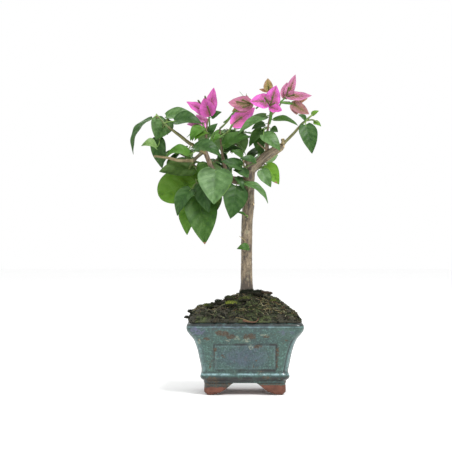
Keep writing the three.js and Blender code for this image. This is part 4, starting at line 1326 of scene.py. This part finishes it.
    def finer(self, name, seed):
        """Finer side twigs with small leaves, on every twig that the mass has so far."""
        random = stream(seed)
        for curve, length in list(self.carriers[name]):
            count = int(length / FINE_SPACING)
            for number in range(count):
                start = curve.point(mix(0.12, 1, (number + random()) / count))
                level = level_way(random() * TURN)
                rise = mix(-0.6, 0.9, random())
                end = cast(start, level, mix(5, 10, random()), rise)
                draws = [(random(), random(), random()) for _ in range(FINE_PLACES)]
                kept = 0
                for place, draw in enumerate(draws):
                    is_last = place == FINE_PLACES - 1
                    side = 0 if is_last else 1 if place % 2 else -1
                    size = mix(10, 23, draw[2] * (0.75 if is_last else 1))
                    root = start + (end - start) * (0.4 + 0.2 * place)
                    kept += self.side_leaf(name, FINE_HABIT, side, root, level, draw, size, 0.1)
                if kept:
                    path = Curve([start, (start + end) / 2 - UP * 0.5, end]).row(9)
                    self.add_twig(path, np.linspace(0.75, 0.45, 9), 6, name)

    def grow(self):
        for step in (self.wood, self.shown_leaves, self.keep_blossoms):
            for name in MASSES:
                step(name)
        self.blossoms()
        for seed, name in enumerate(MASSES, FIRST_SEED):
            self.shoots(name, seed)
        for name in MASSES:
            self.fuller_leaves(name)
        for seed, name in enumerate(MASSES, FINE_SEED):
            self.finer(name, seed)
        materials = leaf_materials()
        for group, heap in self.leaves.items():
            heap.piece(group, materials, "leaf", replaced=LEAF_GROUPS[group])
        self.twigs.piece("twigs", bark_materials(), "bark")
        self.bracts.piece("bracts_and_flowers", bract_materials(), "leaf")


# The pot. A point on one of its rounded corners has no place along a side, so it gets one far off.
OFF_SIDE = 999.0
FAR_FROM_PANEL = 99.0
# Values of the glaze: the first holds pooled glaze with painted shade; then rust, violet painted sheen, pale
# specks, blue, and thin, the painted highlights
GLAZE_VALUES = ("pool", "rust", "violet", "pale", "blue", "thin")
FOOT_TOE = 4
SOLE_RISE = 9
OUTER_RADIUS = 7
INNER_RADIUS = 1.2


def side_places(flat, panel):
    """Places along one side, close together where the panel's groove crosses."""
    inner = np.concatenate([np.arange(0, panel - 2, 1.3), np.arange(panel - 2, panel + 2.2, 0.42)])
    outer = inner[-1] + (flat - inner[-1]) * np.linspace(0, 1, 7)[1:]
    half = np.concatenate([inner, outer])
    return np.concatenate([-half[:0:-1], half])


def rounded_ring(half_wide, half_deep, corner, panels=None, corner_steps=16):
    """Rounded rectangle: its points, their ways outward, places along the side, and the corner's angle."""
    parts = []
    for side in range(4):
        angle = side * math.pi / 2
        half_along, half_off = (half_deep, half_wide) if side % 2 == 0 else (half_wide, half_deep)
        flat = half_along - corner
        along = side_places(flat, panels[side % 2]) if panels else np.linspace(-flat, flat, 26)
        normal = np.array([math.cos(angle), math.sin(angle)])
        tangent = np.array([-math.sin(angle), math.cos(angle)])
        outward = np.broadcast_to(normal, (len(along), 2))
        parts.append((normal * half_off + tangent * along[:, None], outward, along, np.zeros(len(along))))
        bend = np.arange(1, corner_steps) / corner_steps * math.pi / 2
        centre = normal * (half_off - corner) + tangent * flat
        spoke = normal * np.cos(bend)[:, None] + tangent * np.sin(bend)[:, None]
        parts.append((centre + spoke * corner, spoke, np.full(len(bend), OFF_SIDE), bend))
    return [np.concatenate(rows) for rows in zip(*parts)]


def groove(distance, wide):
    return np.exp(-(distance / wide) ** 2)


def bands(height, *rows):
    """Soft bands round the pot: the height, width and strength of each."""
    return sum(groove(height - middle, wide) * strength for middle, wide, strength in rows)


def box_distance(along, height, half_wide, low, high, corner=1.5):
    """Distance from the outline of a rounded upright rectangle, less than nothing inside it."""
    middle, half_tall = (low + high) / 2, (high - low) / 2
    a = np.abs(along) - half_wide + corner
    b = np.abs(height - middle) - half_tall + corner
    return np.hypot(np.maximum(a, 0), np.maximum(b, 0)) + np.minimum(np.maximum(a, b), 0) - corner


# Rust, white specks and violet sheen on the front, the violet a painted reflection: across and up as seen,
# half sizes, and how much
RUST = groups("""
    -26 65.5 12 4.2 1, -16 62 6 3.4 1, 5.6 61.6 10 4.2 1, 15.5 50.2 6.5 2.6 1, -43 59.4 5 2.8 1,
    24.7 61.7 4 2.4 1, -36 36 5 13 0.6, -25 36 4 10 0.45, 37.3 37.5 2.2 11 0.8, 47.3 57.1 2.4 2 1,
    -37 11.9 10 4.5 0.85, 24.7 14.2 6 2.8 0.85, 9 28 9 5 0.5, 18 20 6 3 0.75, 2 47 12 5 0.35,
    46 18 8 3 0.6, -33.8 46.8 3.4 2.4 1, -40 28.3 2.5 5 0.75, -24.5 39.1 2 2.2 0.9, 14 34 1.9 1.8 1,
    9.9 27.1 1.8 1.9 1, 37.6 46.3 2.2 4.5 1, 37.1 28.3 1.9 3 1, -52.8 58.1 1.8 2 1, -34 70.5 7 2 0.6
""")
PALE_SPECKS = groups("""
    -9 60 5 4 1, 1.5 57.2 7 3.5 1, 6.8 49.6 4.5 4 1, -19 57.5 7 2.5 1, 22 64 7 2 1, -52 56 4 4 1
""")
VIOLET = groups("""
    -55 69 9 5 1, 48 66 10 3 0.6, -10 74 60 3 0.45, 0 40 30 14 0.25
""")
# What the front gets, and for the other sides where a noise starts to show, how fine it is, and its seed
PATCHES = ((RUST, 0.58, 0.08, 77), (PALE_SPECKS, 0.62, 0.08, 91), (VIOLET, 0.6, 0.05, 95))


def patch_share(across, height, patches):
    offsets = [(oval_offset(across, height, oval), strength) for *oval, strength in patches]
    return np.max([strength * np.clip(1.35 - offset, 0, 1) for offset, strength in offsets], axis=0)


def glaze_material():
    nodes = Nodes("glaze")
    base = nodes.mix(nodes.steep(nodes.noise(55, detail=3), 0.38, 0.62), "2B4443", "345148")
    base = nodes.speckle(base, "53796E", 480, 4, 0.7, 0.5, 0.64, 0.85)
    base = nodes.mix(nodes.times(nodes.value("blue"), 0.8), base, "2F434D")
    base = nodes.speckle(base, "1C2A2C", 620, 4, 0.75, 0.53, 0.64, 0.8)
    base = nodes.speckle(base, "4A3F2C", 330, 5, 0.8, 0.59, 0.66, 0.7)
    # Over the base: violet painted sheen, the pale blue of the painted highlights, and near black for pooled
    # glaze with painted shade
    for value, scale, detail, rough, low, high, code in (
        ("violet", 240, 4, 0.6, 0.4, 0.6, "545370"),
        ("thin", 170, 4, 0.7, 0.36, 0.58, "93B4BA"),
        ("pool", 150, 3, 0.6, 0.2, 0.5, "161C1B"),
    ):
        cloud = nodes.steep(nodes.noise(scale, detail, rough), low, high)
        base = nodes.mix(nodes.times(nodes.value(value), cloud), base, code)
    ragged = nodes.on_noise("rust", 0.41, 400, 0.8)
    crust = nodes.mix(nodes.steep(nodes.noise(700, detail=4, rough=0.75), 0.42, 0.6), "33271B", "58452E")
    base = nodes.mix(nodes.steep(ragged, 0.76, 0.88, top=0.92), base, crust)
    base = nodes.mix(nodes.steep(ragged, 0.93, 1.06, top=0.85), base, "2A221A")
    flecks = nodes.on_noise("pale", 0.34, 620, 0.85)
    base = nodes.mix(nodes.steep(flecks, 0.82, 0.88, top=0.85), base, "868C7A")
    nodes.bump(nodes.noise(260, detail=3), 0.22, 0.0006)
    set_inputs(nodes.shader, {"Specular IOR Level": 0.4, "Coat Weight": 0.35, "Coat Roughness": 0.1})
    return nodes.finish(base, nodes.times(nodes.steep(ragged, 0.75, 0.95, top=0.5), 0.3, how="ADD"))


def clay_material():
    nodes = Nodes("terracotta")
    base = nodes.speckle("573427", "6C4233", 180, 4, 0.5, 0.4, 0.62)
    base = nodes.speckle(base, "422A22", 500, 3, 0.7, 0.55, 0.7, 0.6)
    nodes.bump(nodes.noise(900, detail=4, rough=0.7), 0.5, 0.0005)
    return nodes.finish(base, 0.85)


def pot_patches(points, height):
    """Where the glaze is rusty, pale, violet or blue. The sides and the back get their own patches."""
    across, up_seen = as_seen(points)
    across = across + (fractal(points * 0.3, 3, 63) - 0.5) * 6
    up_seen = up_seen + (fractal(points * 0.35, 3, 65) - 0.5) * 4
    on_front = points[..., 1] < -30
    shares = []
    for ovals, low, pace, seed in PATCHES:
        elsewhere = smooth_step(low, low + 0.16, fractal(points * pace, 2, seed))
        shares.append(np.where(on_front, patch_share(across, up_seen, ovals), elsewhere))
    is_long_side = np.abs(points[..., 1]) > np.abs(points[..., 0]) - SHALLOWER
    sideways = np.where(is_long_side, points[..., 0], points[..., 1])
    blue = np.clip(1.2 - (sideways / 27) ** 2 - ((height - 42) / 15) ** 2, 0, 1) * 0.75
    return *shares, blue


def pot_ring(half, height, is_outside, is_inner_edge):
    """A ring of the pot's skin: its points, and the glaze's values at each."""
    flat, outward, place, turn = rounded_ring(
        half, half - SHALLOWER, POT_CORNER, panels=(SIDE_PANEL_HALF_WIDE, PANEL_HALF_WIDE))
    on_side = place < OFF_SIDE
    half_wide = np.where(np.abs(outward[:, 1]) > 0.5, PANEL_HALF_WIDE, SIDE_PANEL_HALF_WIDE)
    distance = box_distance(place, height, half_wide, PANEL_BOTTOM, PANEL_TOP)
    distance = np.where(on_side, distance, FAR_FROM_PANEL)
    line = groove(distance, 1.25) * is_outside
    recess = smooth_step(0.4, -1.2, distance) * is_outside
    tall = smooth_step(22.5, 26, height) * (1 - smooth_step(60, 66, height))
    # Lines down the corners' notches: pushed in, and painted shade in the darker glaze, faint at the front's
    # left corner
    corner = np.maximum(*(groove((turn - angle) * POT_CORNER, 0.9) for angle in (0.36, 1.21)))
    faint = mix(1, 0.3, (outward[:, 0] < 0) & (outward[:, 1] < 0))
    corner = np.where(on_side, 0, corner) * tall * faint * is_outside
    spots = np.column_stack([flat, np.full(len(place), height)])
    lumps = (fractal(spots * 0.12, 2, 31) - 0.5) * 0.7 + (fractal(spots * 0.5, 2, 37) - 0.5) * 0.22
    inward = 0.95 * line + 0.4 * recess + 0.6 * corner - lumps * (0.6 if is_outside else 0.3)
    spots[:, :2] -= outward * inward[:, None]

    # How dark the panel's groove is, by noise and less at the left end of each side as seen from outside:
    # pooled glaze with painted shade
    groove_darkness = 0.35 + 0.9 * smooth_step(0.35, 0.65, fractal(spots * 0.13, 2, 71)) * np.where(place < -20, 0.5, 1)
    # More to the front's left, where the painted shadow under the band is deeper
    darker = smooth_step(20, -25, spots[:, 0]) * (spots[:, 1] < 0)
    # Painted shadow under the band's bulge and painted shade in the crease above it
    under_band = bands(height, (17.5, 2.7, 1.3), (25, 1.2, 0.5))
    under_band = under_band + smooth_step(20, 16, height) * mix(0.35, 0.8, darker)
    # A dark band on the lip above its crest, painted shade under the lip's roll, and a faint dark band where
    # the wall starts to flare
    under_lip = bands(height, (79.6, 2.1, 1.2), (75.4, 1.1, 0.4), (61, 2, 0.1))
    # Painted shade in the lip's corner notches
    lip_corner = np.where(on_side, 0, 0.75) * smooth_step(78.5, 80.5, height) * is_outside
    # Darker glaze: pooled glaze and painted shade in the panel's groove, and painted shade in the notches,
    # under the band and on the lip
    pool = np.clip(1.1 * line * groove_darkness + corner + under_band + under_lip + lip_corner, 0, 1)
    # Painted highlights: a thin bright line on the lip's crest, a band along the top of the band's bulge and
    # a line on the rim's top
    light = bands(height, (76.9, 0.35, 0.9), (22.6, 1.0, 0.9), (81.8, 0.6, 0.7))
    # A painted highlight down the middle of each rounded corner
    edges = np.where(on_side, 0, groove(turn - 0.785, 0.45)) * 0.3 * tall
    # thin gathers the painted highlights, with a faint one just inside the panel's edge and a strong one on
    # the rim's inner edge
    thin = light + edges + groove(distance + 1.8, 0.8) * 0.14 + (0.75 if is_inner_edge else 0)
    rust, pale, violet, blue = pot_patches(spots, height)
    rust = np.maximum(rust, bands(height, (17.6, 2.4, 0.62)))
    return spots, dict(pool=pool, rust=rust, violet=violet, pale=pale, blue=blue, thin=np.clip(thin, 0, 1))


def make_pot():
    heap = Heap(*GLAZE_VALUES)
    outside, inside = (Curve([(half, 0, height) for height, half in profile]).even(spacing)[0]
                       for profile, spacing in ((POT_OUTSIDE, 0.62), (POT_INSIDE, 2)))
    lip = [(mix(POT_OUTSIDE[-1][1], POT_INSIDE[0][1], share), 0, RIM_TOP) for share in (0.2, 0.4, 0.6, 0.8)]
    rows = np.concatenate([outside, lip, inside])
    inner_edge = (len(outside) + 3, len(outside) + 4)
    rings = [pot_ring(half, height, number < len(outside), number in inner_edge)
             for number, (half, _, height) in enumerate(rows)]
    values = {key: np.concatenate([ring[1][key] for ring in rings] + [[0, 0]]) for key in GLAZE_VALUES}
    points = np.concatenate([ring[0] for ring in rings] + [[[0, 0, rows[0][2]], [0, 0, rows[-1][2]]]])
    add_rings(heap, points, len(rows), 0, foot=1, tip=1, **values)
    return heap.piece("pot_glazed", [glaze_material(), clay_material()], "glaze", replaced=["pot"])


def arch_edge(arch, share):
    """Half width of an arch's opening at a share of its height: wide at the ground, narrow at its crown."""
    top, ground = arch
    half = mix(ground, top, ARCH_SLOPE)
    t = np.linspace(0, 1, 60)

    def bend(a, b, c, d):
        return (1 - t) ** 3 * a + 3 * (1 - t) ** 2 * t * b + 3 * (1 - t) * t * t * c + t ** 3 * d

    height = bend(FOOT_BOTTOM, FOOT_BOTTOM + 1, FOOT_TOP - 0.5, FOOT_TOP)
    return np.interp(mix(FOOT_BOTTOM, FOOT_TOP, share), height, bend(ground, half, half, top))


def foot_ring(height):
    """Outline of the foot in the corner where x and y are more than 0."""
    share = (height - FOOT_BOTTOM) / (FOOT_TOP - FOOT_BOTTOM)
    toe = FOOT_TOE * max(0, 1 - (height - FOOT_BOTTOM) / FOOT_TOE) ** 1.3
    sole = SOLE_RISE * (1 - share) ** 2.2
    low_x, low_y = arch_edge(FRONT_ARCH, share) + sole, arch_edge(SIDE_ARCH, share) + sole
    high_x, high_y = FOOT_OUTSIDE - toe, FOOT_OUTSIDE - SHALLOWER - toe
    ring = []
    for turn, (is_high_x, is_high_y) in enumerate(((1, 1), (0, 1), (0, 0), (1, 0))):
        radius = INNER_RADIUS if turn else OUTER_RADIUS - toe
        centre_x = high_x - radius if is_high_x else low_x + radius
        centre_y = high_y - radius if is_high_y else low_y + radius
        bend = (turn + np.linspace(0, 1, 9)) * math.pi / 2
        ring.append(np.column_stack([centre_x + radius * np.cos(bend), centre_y + radius * np.sin(bend)]))
    ring = np.concatenate(ring)
    after = np.roll(ring, -1, axis=0)
    ring = np.concatenate([[mix(a, b, share) for share in (0, 0.25, 0.5, 0.75)] if number % 9 == 8 else [a]
                           for number, (a, b) in enumerate(zip(ring, after))])
    return np.column_stack([ring, np.full(len(ring), height)])


def make_foot(name, sign_x, sign_y):
    """A foot, whose lowest edge is bare clay."""
    heap = Heap(*GLAZE_VALUES)
    sole_top = FOOT_BOTTOM + 3
    heights = [*np.linspace(FOOT_BOTTOM, sole_top, 8), *np.linspace(sole_top + 0.5, FOOT_TOP - CLEAR, 20)]
    points = np.array([foot_ring(height) for height in heights])
    rough = fractal(points * 0.35, 2, 17) - 0.5
    outward = unit(points[..., :2] - points[..., :2].mean(axis=1, keepdims=True))
    points[..., :2] += outward * rough[..., None] * 0.5
    columns = points.shape[1]
    flat = points.reshape(-1, 3) * np.array([sign_x, sign_y, 1])
    flip = sign_x * sign_y < 0
    edge = mix(7.4, 10.2, flat[:, 0] > 0) + 2.6 * (fractal(flat * 0.16, 2, 5) - 0.5)
    faces = grid_faces(len(heights), columns, closed=True)
    is_clay = (flat[:, 2] < edge)[faces].mean(axis=1) > 0.5
    # Darker glaze on the feet: more on the left feet, and most just above where the glaze ends
    pool = np.clip((0.8 if sign_x < 0 else 0.35) + 0.5 * groove(flat[:, 2] - 7.5, 1.6), 0, 1)
    points = np.concatenate([flat, [flat[:columns].mean(axis=0), flat[-columns:].mean(axis=0)]])
    add_rings(heap, points, len(heights), is_clay.astype(int), foot=1, tip=0, flip=flip,
              pool=np.concatenate([pool, [0, 0]]), rust=0.75, blue=0.1)
    return heap.piece(f"{name}_glazed", [glaze_material(), clay_material()], "clay", replaced=[name])


# The soil
def mound_height(share, left):
    base = RIM_TOP + CLEAR
    edge = mix(*MOUND_EDGE, left)
    shoulder = mix(*MOUND_SHOULDER, left)
    left_slope = 1 - np.minimum(1, share / BLOCK_START) ** MOUND_FALL[1]
    slope = mix(1 - share ** MOUND_FALL[0], left_slope, left)
    return base + edge * (1 - share ** shoulder) + (SEAT_HEIGHT - base - edge) * slope


def mound_place(outline, share):
    """Places on the mound over its outline, and how far to the left each lies."""
    seat = np.array([SEAT_ACROSS, 0.0])
    angle = np.arctan2(outline[..., 1] / MOUND_HALF_DEPTH, outline[..., 0] / MOUND_HALF_WIDTH)
    oval = np.stack([np.cos(angle) * MOUND_HALF_WIDTH, np.sin(angle) * MOUND_HALF_DEPTH], axis=-1)
    edge = oval + (outline - oval) * (share ** 2)[..., None]
    place = seat + (edge - seat) * share[..., None]
    offset = outline - seat
    left = ((1 - offset[..., 0] / np.hypot(offset[..., 0], offset[..., 1])) / 2) ** 0.7
    return place, left


def mound_point(outline, share):
    place, left = mound_place(outline, share)
    height = mound_height(share, left)
    flat = np.concatenate([place, height[..., None]], axis=-1)
    fade = np.minimum(1, (1 - share) / 0.05) * np.clip((share - 0.1) / 0.1, 0, 1)
    waves = sum(
        tall * np.sin(pace_x * place[..., 0] + start_x) * np.sin(pace_y * place[..., 1] + start_y)
        for tall, pace_x, start_x, pace_y, start_y in MOUND_WAVES
    )
    rough = (fractal(flat * 0.3, 3, 41) - 0.5) * 2.2
    flat[..., 2] += (waves + rough) * fade
    sink = (fractal(flat * 0.2, 2, 47) - 0.5) * 2.4
    direction = unit(np.concatenate([place - np.array([SEAT_ACROSS, 0]), place[..., :1] * 0], axis=-1))
    flat += direction * (np.minimum(sink, 0.5) * smooth_step(0.8, 0.97, share))[..., None]
    return flat


def mound_outline():
    return rounded_ring(MOUND_HALF_WIDTH, MOUND_HALF_DEPTH, POT_CORNER + 2, corner_steps=14)[0]


def in_thirds(ring):
    """A closed ring with two more points on each of its sides."""
    after = np.roll(ring, -1, axis=0)
    return np.concatenate([[a, (2 * a + b) / 3, (a + 2 * b) / 3] for a, b in zip(ring, after)])


def soil_material():
    nodes = Nodes("soil")
    base = nodes.speckle("26271E", "39372B", 190, 4, 0.65, 0.4, 0.62)
    base = nodes.speckle(base, "4E4836", 520, 3, 0.7, 0.54, 0.7, 0.8)
    green = nodes.times(nodes.value("moss"), nodes.noise(300, detail=4, rough=0.6))
    base = nodes.mix(nodes.steep(green, 0.26, 0.5, top=0.85), base, "373F26")
    base = nodes.mix(nodes.steep(green, 0.42, 0.6, top=0.6), base, "4E5A30")
    nodes.bump(nodes.noise(650, detail=5, rough=0.7), 0.9, 0.0012)
    return nodes.finish(base, 0.95)


def moss_share(points):
    """How mossy the ground is: in patches, a little more towards the right."""
    field = fractal(points * 0.06, 2, 53)
    right = smooth_step(-30, 40, points[..., 0])
    return smooth_step(0.4, 0.7, field + 0.08 * right)


# The filling below the mound: half width and height of its rings
PLUG = ((30, 45), (45.4, 45), (57.5, 79.5), (58.1, RIM_TOP + 0.2))


def make_soil():
    heap = Heap("moss")
    outline = in_thirds(mound_outline())
    shares = np.concatenate([np.linspace(1, 0.9, 22), np.linspace(0.89, 0.07, 92)])
    top = [mound_point(outline, np.full(len(outline), share)) for share in shares]
    plug = []
    for half, height in PLUG:
        ring = in_thirds(rounded_ring(half, half - SHALLOWER, POT_CORNER, corner_steps=14)[0])
        plug.append(np.column_stack([ring, np.full(len(ring), height)]))
    ends = [[0, 0, PLUG[0][1]], [SEAT_ACROSS, 0, SEAT_HEIGHT - 1]]
    points = np.concatenate(plug + top + [ends])
    add_rings(heap, points, len(plug) + len(shares), 0, moss=moss_share(points))
    return heap.piece("soil_mound", [soil_material()], "soil", replaced=["soil"])


SOIL_TINTS = ("1D1D19", "2B2A22", "3B372C", "272B20")
MOSS_TINTS = ("24291E", "323925", "434B2C", "697336", "98A348")
FIBRE_TINTS = ("85754E", "62483A", "767C55", "A39E80")
DARK_BARK = len(FIBRE_TINTS)
LIGHT_FIBRES = 60
# Takes a number from 0 to 1 to one of four tints
FOUR_TINTS = 3.999


def scatter(count, seed, low=0.1, high=0.97):
    """Seeded places over the mound, two more random numbers for each, and the stream that they come from."""
    draw = stream(seed)
    numbers = np.array([(draw(), draw(), draw(), draw()) for _ in range(count)])
    outline = mound_outline()
    closed = np.concatenate([outline, outline[:1]])
    reach = lengths(closed)
    wanted = numbers[:, 0] * reach[-1]
    edge = np.stack([np.interp(wanted, reach, closed[:, axis]) for axis in (0, 1)], axis=1)
    share = np.sqrt(mix(low ** 2, high ** 2, numbers[:, 1]))
    return mound_point(edge, share), numbers[:, 2:], draw


def add_lump(heap, middle, size, seed, slot):
    """Crumb of soil: a small sphere pushed out of shape."""
    up_count, round_count = 5, 7
    lift = np.linspace(-1, 1, up_count + 2)[1:-1] * 1.35
    turn = np.arange(round_count) / round_count * TURN
    ring = np.stack([
        np.cos(lift)[:, None] * np.cos(turn), np.cos(lift)[:, None] * np.sin(turn),
        np.broadcast_to(np.sin(lift)[:, None], (up_count, round_count)),
    ], axis=-1)
    points = np.concatenate([ring.reshape(-1, 3), [[0, 0, -1], [0, 0, 1]]])
    points = points * (0.65 + 0.8 * noise(points * 1.3 + seed * 7.7, 61))[:, None] * np.asarray(size)
    add_rings(heap, points + middle, up_count, slot)


# Lumps of moss and soil that stand out: across, behind and up as seen, half sizes, and tint
BIG_LUMPS = [groups(line) for line in lines("""
-15.6 -26 99.8, 6.5 4 2.6, 3
-4 -20 105, 3 2.5 2, 2
2.5 -22 105.5, 4 3 2.6, 2
-18 -14 106.5, 5 4 2.4, 1
32.6 -18 103.5, 3.5 3 1.4, 2
-7 -34 85.5, 2 2 1.6, 3
-48 -22 83, 3 2.5 1.6, 2
-1 -8 112, 5 5 2.5, 0
16 -10 112.5, 6 5 3, 0
-1 -7 113, 3 3 3, 0
3.5 -8 113.5, 3.6 3 3.2, 0
8 -6 113.5, 3 3 3, 0
-62.5 -8 91.5, 3 3 1.4, 0
-65 -18 84.6, 4.2 3 1.1, 0
-59 -26 88, 3.5 3 1.6, 0
-30 -16 102, 4.5 4 2.6, 0
15 -16 113, 4 4 2.6, 0
-50 38 95.6, 5 4 3, 1
-43 37 96.6, 5.5 4.5 3.4, 2
-36 35 98, 5.5 4 3.2, 1
-40 -6 96.5, 4 4 2, 1
""")]


def make_crumbs():
    heap = Heap()
    spots, draws, _ = scatter(count=2100, seed=301)
    for number, (place, (one, two)) in enumerate(zip(spots, draws)):
        size = mix(0.5, 2.2, one ** 3)
        add_lump(heap, place, (size, size * mix(0.7, 1.3, two), size * 0.7), number, int(two * FOUR_TINTS))
    edge, draws, _ = scatter(count=420, seed=303, low=0.93, high=0.995)
    for number, (place, (one, two)) in enumerate(zip(edge, draws)):
        size = mix(0.7, 1.9, one ** 2)
        add_lump(heap, place - UP * 0.4, (size, size, size * 0.8), number, int(two * FOUR_TINTS))
    for number, (middle, size, _) in enumerate(BIG_LUMPS):
        add_lump(heap, at(middle) - UP * 0.8, size, 900 + number, 1)
    materials = plain_set("crumb", SOIL_TINTS, roughness=0.95, shine=0.1)
    return heap.piece("soil_crumbs", materials, "soil", smooth=False)


def moss_roots():
    """Where spikes of moss stand, in tufts and on the lumps, their tints, and the stream for what follows."""
    spots, draws, draw = scatter(count=17000, seed=311)
    keep = moss_share(spots) > draws[:, 0] * 0.9 + 0.05
    roots, tints = [spots[keep]], [np.clip((draws[keep, 1] * 3.2).astype(int), 0, 3)]
    for middle, (wide, deep, tall), (bright,) in BIG_LUMPS:
        numbers = np.array([(draw(), draw(), draw()) for _ in range(int(wide * deep * 16))])
        turn, out = numbers[:, 0] * TURN, np.sqrt(numbers[:, 1])
        rise = tall * np.sqrt(1 - out ** 2 * 0.9) - 1
        offset = np.column_stack([wide * out * np.cos(turn), deep * out * np.sin(turn), rise])
        roots.append(at(middle) + offset)
        tints.append(np.clip(bright + (numbers[:, 2] * 2).astype(int) - (bright == 0), 0, 4))
    return np.concatenate(roots), np.concatenate(tints).astype(int), draw


def round_ways(angle):
    """Level unit vectors at angles."""
    return np.column_stack([np.cos(angle), np.sin(angle), np.zeros(len(angle))])


def make_moss():
    """Short spikes of moss in tufts, and bright cushions of it by the trunk."""
    heap = Heap()
    roots, tints, draw = moss_roots()
    total = len(roots)
    numbers = np.array([(draw(), draw(), draw(), draw()) for _ in range(total)])
    turn = numbers[:, 0] * TURN
    lean = round_ways(turn) * mix(0.3, 1.1, numbers[:, 1])[:, None]
    long = mix(0.9, 2.9, numbers[:, 2] ** 1.5)
    tips = roots + unit(lean + UP + unit(roots * np.array([1, 1, 0])) * 0.4) * long[:, None]
    wide = mix(0.16, 0.4, numbers[:, 3])
    corners = [roots - UP * 0.3 + round_ways(turn + side * TURN / 3) * wide[:, None] for side in range(3)]
    points = np.stack(corners + [tips], axis=1).reshape(-1, 3)
    start = np.arange(total)[:, None] * 4
    faces = np.concatenate([start + np.array(row) for row in ((0, 1, 3), (1, 2, 3), (2, 0, 3))])
    heap.add(points, (faces, np.tile(tints, 3)))
    return heap.piece("moss", plain_set("moss", MOSS_TINTS, roughness=0.9, shine=0.15), "soil", smooth=False)


def add_fibres(heap):
    """Fibres that lie all over the mound."""
    spots, draws, draw = scatter(count=420, seed=331, low=0.2, high=0.95)
    for place, (one, two) in zip(spots, draws):
        heading = level_way(draw() * DRAWN_TURN)
        reach = mix(3, 12, one ** 2)
        out = unit(place * np.array([1, 1, 0]))
        slope = (heading @ out) * 0.35
        path = []
        for offset in (-0.5, 0, 0.5):
            lifted = place + heading * reach * offset + (out * 0.6 + UP) * mix(0.5, 1.6, draw())
            path.append(lifted - UP * slope * reach * offset)
        add_tube(heap, Curve(path).row(9), mix(0.08, 0.24, two * two), 4, int(draw() * FOUR_TINTS))


def add_light_fibres(heap):
    """Short fibres on the right of the mound's front."""
    draw = stream(seed=337)
    for _ in range(LIGHT_FIBRES):
        place = np.array([mix(14, 52, draw()), -mix(20, 44, draw())])
        heading = np.array([mix(-4, 4, draw()), mix(-2, 2, draw()), mix(-3, 3, draw())])
        outline = place / max(abs(place[0]) / MOUND_HALF_WIDTH, abs(place[1]) / MOUND_HALF_DEPTH)
        share = np.linalg.norm(place) / np.linalg.norm(outline)
        middle = mound_point(outline[None], np.array([share]))[0] + UP * mix(0.4, 1.2, draw())
        path = [middle - heading, middle + UP * mix(0.3, 1.4, draw()), middle + heading]
        add_tube(heap, Curve(path).row(8), mix(0.1, 0.2, draw()), 4, int(draw() * FOUR_TINTS))


def make_litter():
    """Fibres and roots that lie on the mound, and a stick of bark at its top."""
    heap = Heap("relief")
    add_fibres(heap)
    add_light_fibres(heap)
    stick = np.array([1.4, 1.8, 1.5, 1.9, 1.3, 1.6] * 5)
    for line, radii, sides, slot, relief in (
        ("-2 -49 80.2, 5 -50.5 78.9, 12 -51 78.6, 15 -50.5 80.6, 15.6 -49 83",
         np.linspace(0.9, 0.35, 30), 8, 1, bark_relief(0.12, 1.4, 81)),
        ("6 -50.5 79.2, -3 -49.5 82.4, -13 -48 84.5", np.linspace(0.4, 0.15, 20), 6, 0, None),
        ("-34 -40 92, -30 -44 87, -22 -47 82.5", np.full(16, 0.3), 6, 2, None),
        ("13 -12 113.5, 22 -15 113, 31.5 -16 111.8", stick, 10, DARK_BARK, bark_relief(0.5, 0.9, 83)),
    ):
        add_tube(heap, Curve(places(line)).row(len(radii)), radii, sides, slot, relief=relief)
    materials = plain_set("fibre", FIBRE_TINTS, roughness=0.85, shine=0.2)
    materials.append(plain("dark_bark", "3A3026", roughness=0.9, shine=0.15))
    return heap.piece("litter", materials, "soil")


# The stage
FLOOR_HALF = 4.0
# Lights: name, place, what they face, size and power
LIGHTS = (
    ("key", (0.75, -1.0, 1.55), (0, 0, 0.2), 0.7, 28),
    ("fill", (-1.3, -1.0, 1.0), (0, 0, 0.2), 1.2, 3),
    ("back", (-0.3, 1.4, 1.3), (0, 0, 0.25), 1.0, 5),
)


def place_in_scene(name, data):
    thing = bpy.data.objects.new(name, data)
    bpy.context.scene.collection.objects.link(thing)
    return thing


def make_floor():
    mesh = bpy.data.meshes.new("floor")
    corners = [(x * FLOOR_HALF, y * FLOOR_HALF, 0) for x, y in ((-1, -1), (1, -1), (1, 1), (-1, 1))]
    mesh.from_pydata(corners, [], [(0, 1, 2, 3)])
    mesh.materials.append(plain("floor", "FAFAFA", roughness=0.9, shine=0.1))
    floor = place_in_scene("floor", mesh)


def make_light(name, place, target, size, power):
    data = bpy.data.lights.new(name, "AREA")
    data.shape, data.size, data.energy = "DISK", size, power
    light = place_in_scene(name, data)
    light.location = place
    light.rotation_euler = (Vector(target) - Vector(place)).to_track_quat("-Z", "Y").to_euler()


def make_stage():
    make_floor()
    for light in LIGHTS:
        make_light(*light)
    world = bpy.data.worlds.new("studio")
    bpy.context.scene.world = world
    world.use_nodes = True
    set_inputs(world.node_tree.nodes["Background"], {"Color": (1, 1, 1, 1), "Strength": 1.0})
    bpy.context.scene.view_settings.view_transform = "Standard"


def make_camera():
    """Camera at the photograph's viewpoint: level, a little left of the pot's middle."""
    data = bpy.data.cameras.new("camera")
    data.sensor_width = SENSOR
    data.lens = SENSOR * EYE_DISTANCE / PHOTO_WIDE
    data.clip_start, data.clip_end = 0.05, 20
    camera = place_in_scene("camera", data)
    camera.location = metres((EYE_ACROSS, -EYE_DISTANCE, EYE_HEIGHT))
    camera.rotation_euler = (math.pi / 2, 0, 0)
    bpy.context.scene.camera = camera


make_camera()
make_stage()
make_wood()
Crown().grow()
make_pot()
for side, sign_y in (("front", -1), ("back", 1)):
    for hand, sign_x in (("left", -1), ("right", 1)):
        make_foot(f"pot_foot_{side}_{hand}", sign_x, sign_y)
make_soil()
make_crumbs()
make_moss()
make_litter()
